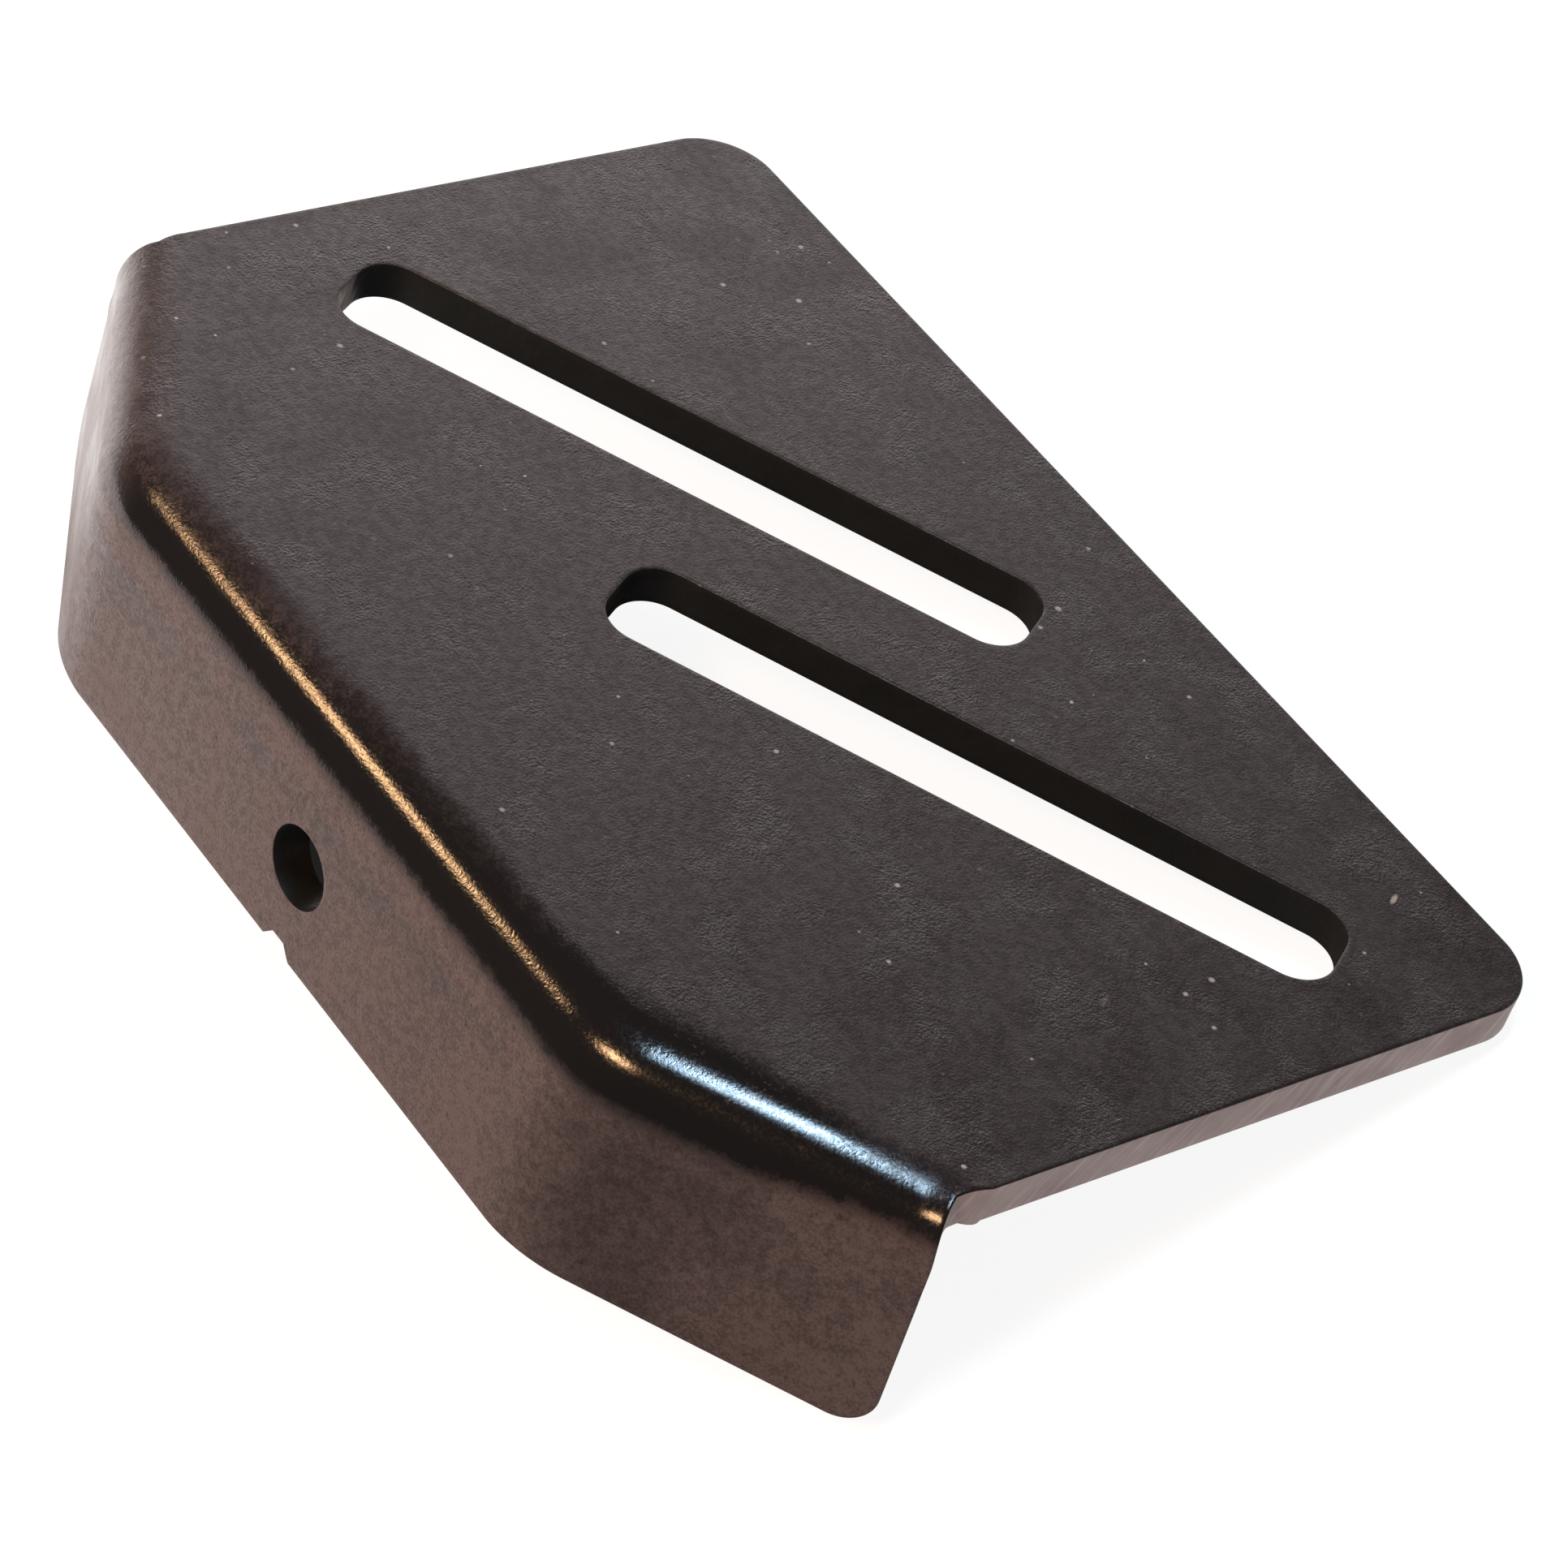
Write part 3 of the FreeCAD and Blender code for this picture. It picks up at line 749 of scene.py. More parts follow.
    def build(self) -> bpy.types.Object:
        """Put the surfaces into one closed mesh, lay it down and hang it on the frame.

        Sharp edges that the part's own box has no room for are flattened at the box.

        Returns:
            The shoe's object, with no material yet.
        """
        made = self.surfaces()
        starts = np.cumsum([0] + [len(part.points) for part in made[:-1]])
        across = np.concatenate([part.across for part in made])
        points = self.left_facet(np.concatenate([part.points for part in made]), across)
        lie = np.array(self.lie)
        low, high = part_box("skid_shoe")
        points = np.clip(points @ lie[:3, :3].T + lie[:3, 3], np.array(low), np.array(high))
        sides = np.concatenate([np.full(len(part.faces), part.faces.shape[1]) for part in made])
        corners = np.concatenate([(part.faces + start).ravel() for part, start in zip(made, starts)])
        mesh = bpy.data.meshes.new(self.name)
        mesh.vertices.add(len(points))
        mesh.vertices.foreach_set("co", points.astype(np.float32).ravel())
        mesh.loops.add(len(corners))
        mesh.loops.foreach_set("vertex_index", corners.astype(np.int32))
        mesh.polygons.add(len(sides))
        mesh.polygons.foreach_set("loop_start", (np.cumsum(sides) - sides).astype(np.int32))
        finishes = np.concatenate([part.finishes for part in made])
        mesh.polygons.foreach_set("material_index", finishes.astype(np.int32))
        place = mesh.attributes.new("across", "FLOAT", "POINT")
        place.data.foreach_set("value", across.astype(np.float32))
        mesh.update(calc_edges=True)
        self.close(mesh)
        shoe = bpy.data.objects.new(self.name, mesh)
        bpy.context.scene.collection.objects.link(shoe)
        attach(shoe, "root")
        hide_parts("skid_shoe")
        return shoe

    def left_facet(self, points: Array, across: Array) -> Array:
        """Push the left facet in, which is bent a little further than the right one.

        The push is along the facet's normal. It grows steadily from the runner's left corner to the left end,
        is whole on the flange, and falls steadily to nothing up the bend.

        Args:
            points: Points of the whole sheet.
            across: Their distance across.

        Returns:
            The points, moved.
        """
        sizes = self.sizes
        corner, _, _ = self.line.at(np.array([self.line.facet_start]))
        grown = np.clip((-points[:, 0] - corner) / (sizes.half_plate - corner), 0.0, 1.0)
        up = np.clip(across / sizes.bend_arc, 0.0, 1.0)
        push = self.left_in * grown * (1.0 - up)
        inward = np.array([math.sin(sizes.facet_angle), math.cos(sizes.facet_angle), 0.0])
        return points + push[:, None] * inward

    def close(self, mesh: bpy.types.Mesh) -> None:
        """Merge the seams, shade the mesh smooth except at sharp corners, and check that it is closed.

        Args:
            mesh: The shoe's mesh.
        """
        work = bmesh.new()
        work.from_mesh(mesh)
        bmesh.ops.remove_doubles(work, verts=work.verts, dist=self.merge_distance)
        open_edges = sum(not edge.is_manifold for edge in work.edges)
        volume = work.calc_volume(signed=True)
        work.to_mesh(mesh)
        work.free()
        mesh.shade_smooth()
        mesh.set_sharp_from_angle(angle=self.sharp_angle)
        log.info("shoe: %d faces, %d open edges, %.2f cm3", len(mesh.polygons), open_edges, volume * 1e6)


class Graph:
    """A node tree with short calls to add and join nodes."""

    def __init__(self, tree: bpy.types.NodeTree) -> None:
        """Take a tree and empty it."""
        self.tree = tree
        tree.nodes.clear()

    def add(self, kind: str, inputs: dict[str | int, object] | None = None,
            **settings: object) -> bpy.types.Node:
        """Add a node.

        Args:
            kind: The node's type name.
            inputs: A value, or a socket to join, for each input that isn't left alone.
            settings: Properties of the node.

        Returns:
            The new node.
        """
        node = self.tree.nodes.new(kind)
        for name, value in settings.items():
            setattr(node, name, value)
        for name, value in (inputs or {}).items():
            if isinstance(value, Socket):
                self.tree.links.new(value, node.inputs[name])
            else:
                node.inputs[name].default_value = value
        return node

    def math(self, operation: str, first: Socket | float, second: Socket | float = 0.0,
             clamp: bool = False) -> Socket:
        """Add a Math node and return its result."""
        inputs = {0: first, 1: second}
        return self.add("ShaderNodeMath", inputs, operation=operation, use_clamp=clamp).outputs[0]

    def product(self, *factors: Socket | float) -> Socket:
        """Return the product of two or more values.

        Args:
            factors: The values.

        Returns:
            The product.
        """
        result = factors[0]
        for factor in factors[1:]:
            result = self.math("MULTIPLY", result, factor)
        return result

    def slope(self, x: Socket, y: Socket, rise: Span) -> Socket:
        """Return a value that rises steadily along x and along y."""
        return self.math("ADD", self.product(x, rise[0]), self.product(y, rise[1]))

    def span(self, value: Socket, low: float, high: float, start: float = 0.0, stop: float = 1.0) -> Socket:
        """Return the value mapped smoothly from one range to another, and held there."""
        inputs = {"Value": value, "From Min": low, "From Max": high, "To Min": start, "To Max": stop}
        return self.add("ShaderNodeMapRange", inputs, interpolation_type="SMOOTHSTEP").outputs["Result"]

    def ranged(self, value: Socket, limits: Span) -> Socket:
        """Return a value from zero to one mapped smoothly to a range."""
        return self.span(value, 0.0, 1.0, *limits)

    def hump(self, value: Socket, middle: float, reach: float) -> Socket:
        """Return one where the value is at the middle, falling smoothly to zero at the reach either way."""
        off = self.math("ABSOLUTE", self.math("SUBTRACT", value, middle))
        return self.span(off, 0.0, reach, 1.0, 0.0)

    def blend(self, share: Socket | float, first: Socket | Colour, second: Socket | Colour) -> Socket:
        """Return a mix of two colours."""
        whole = [value if isinstance(value, Socket) else (*value, 1.0) for value in (first, second)]
        return self.add("ShaderNodeMix", {0: share, 6: whole[0], 7: whole[1]}, data_type="RGBA").outputs[2]

    def between(self, share: Socket, first: Socket | float, second: Socket | float) -> Socket:
        """Return a mix of two numbers."""
        return self.add("ShaderNodeMix", {0: share, 2: first, 3: second}).outputs[0]

    def noise(self, vector: Socket, scale: float, detail: float = 2.0, roughness: float = 0.5) -> Socket:
        """Return smooth noise between zero and one."""
        inputs = {"Vector": vector, "Scale": scale, "Detail": detail, "Roughness": roughness}
        return self.add("ShaderNodeTexNoise", inputs).outputs["Fac"]

    def stretched(self, vector: Socket, scale: Place, turn: Place = (0.0, 0.0, 0.0)) -> Socket:
        """Return the vector turned, then shrunk along each axis, which turns and stretches a pattern."""
        inputs = {"Vector": vector, "Rotation": turn, "Scale": scale}
        return self.add("ShaderNodeMapping", inputs, vector_type="TEXTURE").outputs["Vector"]

    def parts(self, vector: Socket) -> tuple[Socket, Socket, Socket]:
        """Return the vector's x, y and z."""
        return tuple(self.add("ShaderNodeSeparateXYZ", {"Vector": vector}).outputs)

    def sheet_place(self, lie: Matrix) -> Socket:
        """Return the surface's own coordinates, turned on to the sheet's axes.

        Args:
            lie: How the sheet lies.

        Returns:
            The coordinates.
        """
        back = lie.inverted()
        inputs = {"Vector": self.add("ShaderNodeTexCoord").outputs["Object"],
                  "Location": back.to_translation(), "Rotation": back.to_euler()}
        return self.add("ShaderNodeMapping", inputs).outputs["Vector"]

    def group(self, tree: bpy.types.NodeTree, inputs: dict[str, object]) -> bpy.types.bpy_prop_collection:
        """Add a node group and return its outputs."""
        return self.add("ShaderNodeGroup", inputs, node_tree=tree).outputs

    def surface(self, inputs: dict[str, object]) -> None:
        """Add the material's shader and its output."""
        shader = self.add("ShaderNodeBsdfPrincipled", inputs).outputs["BSDF"]
        self.add("ShaderNodeOutputMaterial", {"Surface": shader})


def new_group(name: str, inputs: dict[str, float | None], outputs: list[str]) -> Graph:
    """Start a shader node group.

    Args:
        name: The group's name.
        inputs: Name and starting value of each number that goes in, or None for a vector.
        outputs: Name of each number that comes out.

    Returns:
        A graph to fill the group with.
    """
    tree = bpy.data.node_groups.new(name, "ShaderNodeTree")
    for label, value in inputs.items():
        kind = "NodeSocketVector" if value is None else "NodeSocketFloat"
        socket = tree.interface.new_socket(label, in_out="INPUT", socket_type=kind)
        if value is not None:
            socket.default_value = value
    for label in outputs:
        tree.interface.new_socket(label, in_out="OUTPUT", socket_type="NodeSocketFloat")
    return Graph(tree)


def new_material(name: str) -> tuple[bpy.types.Material, Graph]:
    """Return a new material, and a graph to fill it with.

    Args:
        name: The material's name.

    Returns:
        The material and the graph.
    """
    material = bpy.data.materials.new(name)
    material.use_nodes = True
    return material, Graph(material.node_tree)


@dataclass(frozen=True)
class CoatGrain:
    """Node group: the coat's cloudy tone, its pits, and the height of its pebbled grain."""

    name: str = "coat grain"
    cloud_scale: float = 110.0
    cloud_range: Span = (0.32, 0.68)
    mottle_scale: float = 800.0
    mottle_share: float = 0.35
    grain_scale: float = 3000.0
    grain_share: float = 0.65
    pit_scale: float = 660.0
    pit_edge: Span = (0.08, 0.26)
    pit_chance: Span = (0.75, 0.92)
    pit_share: float = 0.2

    def mottle(self, graph: Graph, place: Socket) -> Socket:
        """Return the coat's mottle, a smooth noise of middling scale."""
        return graph.noise(place, self.mottle_scale, detail=2.0, roughness=0.55)

    def grain(self, graph: Graph, place: Socket) -> Socket:
        """Return the coat's grain, a smooth noise of small scale."""
        return graph.noise(place, self.grain_scale, detail=2.0, roughness=0.6)

    def height(self, graph: Graph, grain: Socket, mottle: Socket, pits: Socket) -> Socket:
        """Return the coat's height, which is shares of the grain and the mottle, less the pits."""
        pebbles = graph.slope(grain, mottle, (self.grain_share, self.mottle_share))
        return graph.math("SUBTRACT", pebbles, graph.product(pits, self.pit_share))

    def build(self) -> bpy.types.NodeTree:
        """Make the group.

        Returns:
            A group that gives a slow cloud, pits, and a height of grain and mottle less the pits.
        """
        graph = new_group(self.name, {"Vector": None}, ["Cloud", "Pits", "Height"])
        place = graph.add("NodeGroupInput").outputs["Vector"]
        cloud = graph.noise(place, self.cloud_scale, detail=4.0, roughness=0.6)
        cells = graph.add("ShaderNodeTexVoronoi", {"Vector": place, "Scale": self.pit_scale}).outputs
        chance = graph.add("ShaderNodeSeparateColor", {"Color": cells["Color"]}).outputs["Red"]
        pits = graph.product(graph.span(cells["Distance"], *self.pit_edge, 1.0, 0.0),
                             graph.span(chance, *self.pit_chance))
        height = self.height(graph, self.grain(graph, place), self.mottle(graph, place), pits)
        graph.add("NodeGroupOutput", {"Cloud": graph.span(cloud, *self.cloud_range), "Pits": pits,
                                      "Height": height})
        return graph.tree


@dataclass(frozen=True)
class DustSpecks:
    """Node group: sparse pale specks of dust."""

    name: str = "dust specks"
    scale: float = 300.0
    size: float = 0.06
    share: float = 0.5
    smallest: float = 0.35
    soft_edge: float = 0.5
    faintest: float = 0.15

    def build(self) -> bpy.types.NodeTree:
        """Make the group.

        Returns:
            A group that gives a mask of round specks, one in some of the cells of a random grid, and some
            of them fainter.
        """
        inputs = {"Vector": None, "Scale": self.scale, "Size": self.size, "Share": self.share}
        graph = new_group(self.name, inputs, ["Mask"])
        given = graph.add("NodeGroupInput").outputs
        grid = {"Vector": given["Vector"], "Scale": given["Scale"]}
        cells = graph.add("ShaderNodeTexVoronoi", grid).outputs
        chance = graph.add("ShaderNodeSeparateColor", {"Color": cells["Color"]}).outputs
        size = graph.product(given["Size"], graph.math("ADD", chance["Green"], self.smallest))
        near = graph.math("SUBTRACT", size, cells["Distance"])
        mask = graph.math("DIVIDE", near, graph.product(size, self.soft_edge), clamp=True)
        chosen = graph.math("LESS_THAN", chance["Red"], given["Share"])
        strength = graph.ranged(chance["Blue"], (self.faintest, 1.0))
        graph.add("NodeGroupOutput", {"Mask": graph.product(mask, chosen, strength)})
        return graph.tree


@dataclass(frozen=True)
class Groups:
    """The node groups that the finishes share."""

    grain: bpy.types.NodeTree
    dust: bpy.types.NodeTree


@dataclass(frozen=True)
class CoatFinish:
    """The dark coat of the plate's faces: dull with haze on the flats, black and glossier along the bend.

    A span named for x or a border holds places, one named a range holds the noise between which a mask
    rises, and any other holds the values between which something varies.
    """

    name: str = "dark_coat"
    pattern: CoatGrain = CoatGrain()
    arc: float = SheetSizes().bend_arc
    coat: Colour = (0.0090, 0.0085, 0.0090)
    haze: Colour = (0.022, 0.0150, 0.0150)
    flange_haze: Colour = (0.124, 0.088, 0.087)
    rust: Colour = (0.085, 0.052, 0.036)
    dust: Colour = (0.40, 0.37, 0.34)
    refraction: float = 1.5
    noise_range: Span = (0.3, 0.7)
    film_cloud: Span = (0.78, 1.02)
    film_mottle: Span = (0.84, 1.12)
    film_grain: Span = (0.66, 1.10)
    film_pits: Span = (1.0, 0.5)
    sheen_mottle: Span = (0.80, 1.18)
    sheen_grain: Span = (0.82, 1.15)
    plain_gloss: float = 0.5
    flange_gloss: Span = (0.85, 0.28)
    left_x: Span = (-58.0 * MILLIMETRE, -46.0 * MILLIMETRE)
    flat_roughness: Span = (0.32, 0.44)
    bend_roughness: Span = (0.09, 0.17)
    flat_relief: Span = (0.06 * MILLIMETRE, 0.15 * MILLIMETRE)
    bend_relief: Span = (0.03 * MILLIMETRE, 0.012 * MILLIMETRE)
    uneven_scale: float = 130.0
    uneven_range: Span = (0.45, 0.68)
    facet_x: Span = (40.0 * MILLIMETRE, 52.0 * MILLIMETRE)
    fleck_across: float = 9.0 * MILLIMETRE
    fleck_reach: float = 5.5 * MILLIMETRE
    fleck_scale: float = 2300.0
    fleck_range: Span = (0.57, 0.68)
    patch_scale: float = 420.0
    patch_range: Span = (0.49, 0.64)
    speck_stretch: Place = (1.0, 1.0, 5.0)
    speck_size: float = 0.10
    speck_share: float = 0.9
    lint_stretch: Place = (1.0, 3.0, 5.0)
    lint_turn: Place = (0.0, 0.0, 0.5)
    lint_scale: float = 150.0
    lint_size: float = 0.05
    lint_share: float = 0.7
    rubbed_x: Span = (-51.0 * MILLIMETRE, -38.5 * MILLIMETRE)
    rubbed_left: float = 0.12
    flange_border: Span = (0.6 * MILLIMETRE, 2.6 * MILLIMETRE)
    plate_border: Span = (7.2 * MILLIMETRE, 9.7 * MILLIMETRE)
    plate_fade: float = 2.2 * MILLIMETRE
    wander: float = 0.7 * MILLIMETRE
    border_reach: float = 36.0 * MILLIMETRE
    corner_x: float = 46.5 * MILLIMETRE
    corner_reach: float = 20.0 * MILLIMETRE
    corner_rise: float = 3.2 * MILLIMETRE
    corner_dip: float = 0.9 * MILLIMETRE
    end_x: Span = (59.0 * MILLIMETRE, 72.0 * MILLIMETRE)
    end_rise: float = 1.7 * MILLIMETRE
    end_dip: float = 1.5 * MILLIMETRE
    # painted shade: darkens the right facet's flange
    painted_facet_shade_x: Span = (36.0 * MILLIMETRE, 50.0 * MILLIMETRE)
    painted_facet_shade: float = 0.56
    # lighter again towards the right facet's end, and lighter towards the flange's bottom
    lighter_facet_end_x: Span = (52.0 * MILLIMETRE, 72.0 * MILLIMETRE)
    lighter_facet_end: float = 1.85
    low_border: Span = (-29.0 * MILLIMETRE, -8.0 * MILLIMETRE)
    lighter_low: float = 1.18
    # painted highlight and painted shade line along the flange's ridge
    ridge_highlight_across: float = -1.5 * MILLIMETRE
    ridge_highlight_reach: float = 1.7 * MILLIMETRE
    painted_ridge_highlight: float = 0.14
    ridge_shade_across: float = -4.2 * MILLIMETRE
    ridge_shade_reach: float = 2.3 * MILLIMETRE
    ridge_shade_x: Span = (30.0 * MILLIMETRE, 42.0 * MILLIMETRE)
    painted_ridge_shade: float = 0.20
    # painted light and shade across the plate: lighter on the left, darker on the right
    plate_x: Span = (-75.0 * MILLIMETRE, 75.0 * MILLIMETRE)
    painted_plate_light_and_shade: Span = (1.16, 0.84)

    def build(self, groups: Groups, lie: Matrix) -> bpy.types.Material:
        """Make the material.

        Args:
            groups: The shared node groups.
            lie: How the sheet lies, which turns the pattern on to the sheet's own axes.

        Returns:
            The material.
        """
        material, graph = new_material(self.name)
        place = graph.sheet_place(lie)
        along, _, height = graph.parts(place)
        across = graph.add("ShaderNodeAttribute", attribute_name="across").outputs["Fac"]
        fold = graph.span(across, 0.0, self.arc)
        coat = graph.group(groups.grain, {"Vector": place})
        mottle_noise = self.pattern.mottle(graph, place)
        grain_noise = self.pattern.grain(graph, place)
        mottle = graph.span(mottle_noise, *self.noise_range)
        grain = graph.span(grain_noise, *self.noise_range)
        wander = graph.product(graph.math("ADD", grain, mottle), self.wander)
        ragged = graph.math("SUBTRACT", graph.math("ADD", across, wander), self.wander)
        rubbed = self.rubbed(graph, along, ragged)
        dull = graph.math("SUBTRACT", 1.0, rubbed)
        film = graph.product(graph.ranged(coat["Cloud"], self.film_cloud),
                             graph.ranged(mottle, self.film_mottle), graph.ranged(grain, self.film_grain),
                             graph.ranged(coat["Pits"], self.film_pits), dull,
                             self.thickness(graph, along, across, height, fold))
        colour = graph.blend(film, self.coat, graph.blend(fold, self.flange_haze, self.haze))
        colour = graph.blend(self.flecks(graph, place, along, across), colour, self.rust)
        specks = graph.product(self.specks(graph, groups, place), fold, dull)
        colour = graph.blend(specks, colour, self.dust)
        flat = graph.ranged(coat["Cloud"], self.flat_roughness)
        rough = graph.between(rubbed, flat, graph.ranged(grain, self.bend_roughness))
        uneven = graph.noise(place, self.uneven_scale, detail=1.5)
        uneven = graph.span(uneven, *self.uneven_range, *self.flat_relief)
        relief = graph.between(rubbed, uneven, graph.span(along, *self.facet_x, *self.bend_relief))
        flange = graph.span(along, *self.left_x, *self.flange_gloss)
        sheen = graph.product(graph.ranged(mottle, self.sheen_mottle), graph.ranged(grain, self.sheen_grain),
                              graph.between(fold, flange, self.plain_gloss))
        gloss = graph.between(rubbed, sheen, self.plain_gloss)
        pebbles = self.pattern.height(graph, grain_noise, mottle_noise, coat["Pits"])
        bump = graph.add("ShaderNodeBump", {"Distance": relief, "Height": pebbles}).outputs["Normal"]
        graph.surface({"Base Color": colour, "Roughness": rough, "IOR": self.refraction,
                       "Specular IOR Level": gloss, "Normal": bump})
        return material

    def flecks(self, graph: Graph, place: Socket, along: Socket, across: Socket) -> Socket:
        """Mask of the rust flecks, which lie in patches on the right facet's bend.

        Args:
            graph: The material's graph.
            place: Place on the sheet.
            along: Distance along the runner.
            across: Distance across the sheet.

        Returns:
            The mask.
        """
        fine = graph.span(graph.noise(place, self.fleck_scale, detail=1.5), *self.fleck_range)
        patch = graph.span(graph.noise(place, self.patch_scale, detail=1.5), *self.patch_range)
        bend = graph.hump(across, self.fleck_across, self.fleck_reach)
        return graph.product(fine, patch, graph.span(along, *self.facet_x), bend)

    def specks(self, graph: Graph, groups: Groups, place: Socket) -> Socket:
        """Mask of the dust: round specks, and short fibres of lint.

        Args:
            graph: The material's graph.
            groups: The shared node groups.
            place: Place on the sheet.

        Returns:
            The mask.
        """
        specks = {"Vector": graph.stretched(place, self.speck_stretch), "Size": self.speck_size,
                  "Share": self.speck_share}
        lint = {"Vector": graph.stretched(place, self.lint_stretch, self.lint_turn),
                "Scale": self.lint_scale, "Size": self.lint_size, "Share": self.lint_share}
        masks = [graph.group(groups.dust, inputs)["Mask"] for inputs in (specks, lint)]
        return graph.math("MAXIMUM", *masks)

    def rubbed(self, graph: Graph, along: Socket, across: Socket) -> Socket:
        """Mask of the bend, where the coat is rubbed black.

        On the plate's side its border climbs from left to right, stands out at the corner and draws back at
        the right end. On the flange's side it is the other way round. It fades out at the left corner.

        Args:
            graph: The material's graph.
            along: Distance along the runner.
            across: Distance across the sheet.

        Returns:
            The mask.
        """
        corner = graph.hump(along, self.corner_x, self.corner_reach)
        end = graph.span(along, *self.end_x)
        climb = graph.span(along, -self.border_reach, self.border_reach, *self.plate_border)
        border = graph.math("ADD", climb, graph.product(corner, self.corner_rise))
        border = graph.math("SUBTRACT", border, graph.product(end, self.end_dip))
        past = graph.math("SUBTRACT", across, border)
        above = graph.span(past, -self.plate_fade, self.plate_fade, 1.0, 0.0)
        lift = graph.slope(end, corner, (self.end_rise, -self.corner_dip))
        below = graph.span(graph.math("SUBTRACT", across, lift), *self.flange_border)
        return graph.product(above, below, graph.span(along, *self.rubbed_x, self.rubbed_left, 1.0))

    def thickness(self, graph: Graph, along: Socket, across: Socket, height: Socket, fold: Socket) -> Socket:
        """A factor on how much haze shows on the coat, mostly painted light and shade.

        The right facet's flange is darkened, as painted shade, and lighter again towards its end; the flange
        is a little lighter towards its bottom. On the plate a painted gradient of light and shade runs from
        lighter on the left to darker on the right. A painted highlight and a painted shade line follow the
        ridge along the flange's top.

        Args:
            graph: The material's graph.
            along: Distance along the runner.
            across: Distance across the sheet.
            height: Height above the plate's outer face.
            fold: Zero on the flange, one on the plate.

        Returns:
            A factor of about one.
        """
        # painted shade darkens the right facet's flange
        flange = graph.product(graph.span(along, *self.painted_facet_shade_x, 1.0, self.painted_facet_shade),
                               # lighter towards the facet's end and towards the flange's bottom
                               graph.span(along, *self.lighter_facet_end_x, 1.0, self.lighter_facet_end),
                               graph.span(height, *self.low_border, self.lighter_low, 1.0))
        # painted highlight on the ridge's lit side, and a painted shade line below it
        light = graph.product(graph.hump(across, self.ridge_highlight_across, self.ridge_highlight_reach), self.painted_ridge_highlight)
        painted_shade_line = graph.product(graph.hump(across, self.ridge_shade_across, self.ridge_shade_reach),
                             graph.span(along, *self.ridge_shade_x, self.painted_ridge_shade, 0.0))
        painted_ridge_lines = graph.math("SUBTRACT", graph.math("ADD", light, 1.0), painted_shade_line)
        # painted light and shade: the plate lighter on the left, darker on the right
        plate = graph.span(along, *self.plate_x, *self.painted_plate_light_and_shade)
        return graph.between(fold, graph.product(flange, painted_ridge_lines), plate)


@dataclass(frozen=True)
class CutFinish:
    """The coat where it lies on a cut wall, with the marks of the cut across it."""

    name: str
    coat: Colour
    rubbed: Colour
    dust: Colour = (0.38, 0.35, 0.31)
    dust_share: float = 0.12
    refraction: float = 1.5
    roughness: Span = (0.55, 0.38)
    mark_scale: float = 1500.0
    mark_stretch: Place = (1.0, 1.0, 9.0)
    mark_turn: Place = (math.radians(-35.0), 0.0, 0.0)
    mark_range: Span = (0.46, 0.74)
    relief: float = 0.05 * MILLIMETRE
    # painted light: a lit brown patch on the wall at the left slot's left end
    painted_light_patch: Colour = (0.36, 0.22, 0.18)
    painted_light_patch_x: float = -61.0 * MILLIMETRE
    painted_light_patch_y: float = 39.4 * MILLIMETRE
    painted_light_patch_reach: float = 4.2 * MILLIMETRE
    painted_light_patch_range: Span = (0.15, 0.4)

    def build(self, groups: Groups, lie: Matrix) -> bpy.types.Material:
        """Make the material, with a painted patch of light on the wall at the left slot's left end.

        Args:
            groups: The shared node groups.
            lie: How the sheet lies, which turns the pattern on to the sheet's own axes.

        Returns:
            The material.
        """
        material, graph = new_material(self.name)
        place = graph.sheet_place(lie)
        coat = graph.group(groups.grain, {"Vector": place})
        specks = graph.group(groups.dust, {"Vector": place, "Share": self.dust_share})["Mask"]
        slanted = graph.stretched(place, self.mark_stretch, self.mark_turn)
        marks = graph.noise(slanted, self.mark_scale)
        shine = graph.span(marks, *self.mark_range)
        tone = graph.product(graph.math("ADD", shine, coat["Cloud"]), 0.5)
        x, y, _ = graph.parts(place)
        # painted light on the left slot's left end wall
        painted_light_patch = graph.product(graph.hump(x, self.painted_light_patch_x, self.painted_light_patch_reach),
                             graph.hump(y, self.painted_light_patch_y, self.painted_light_patch_reach))
        colour = graph.blend(tone, self.coat, self.rubbed)
        colour = graph.blend(graph.span(painted_light_patch, *self.painted_light_patch_range), colour, self.painted_light_patch)
        colour = graph.blend(specks, colour, self.dust)
        height = graph.product(graph.math("ADD", marks, coat["Height"]), 0.5)
        bump = graph.add("ShaderNodeBump", {"Distance": self.relief, "Height": height}).outputs["Normal"]
        graph.surface({"Base Color": colour, "Roughness": graph.ranged(shine, self.roughness),
                       "IOR": self.refraction, "Normal": bump})
        return material


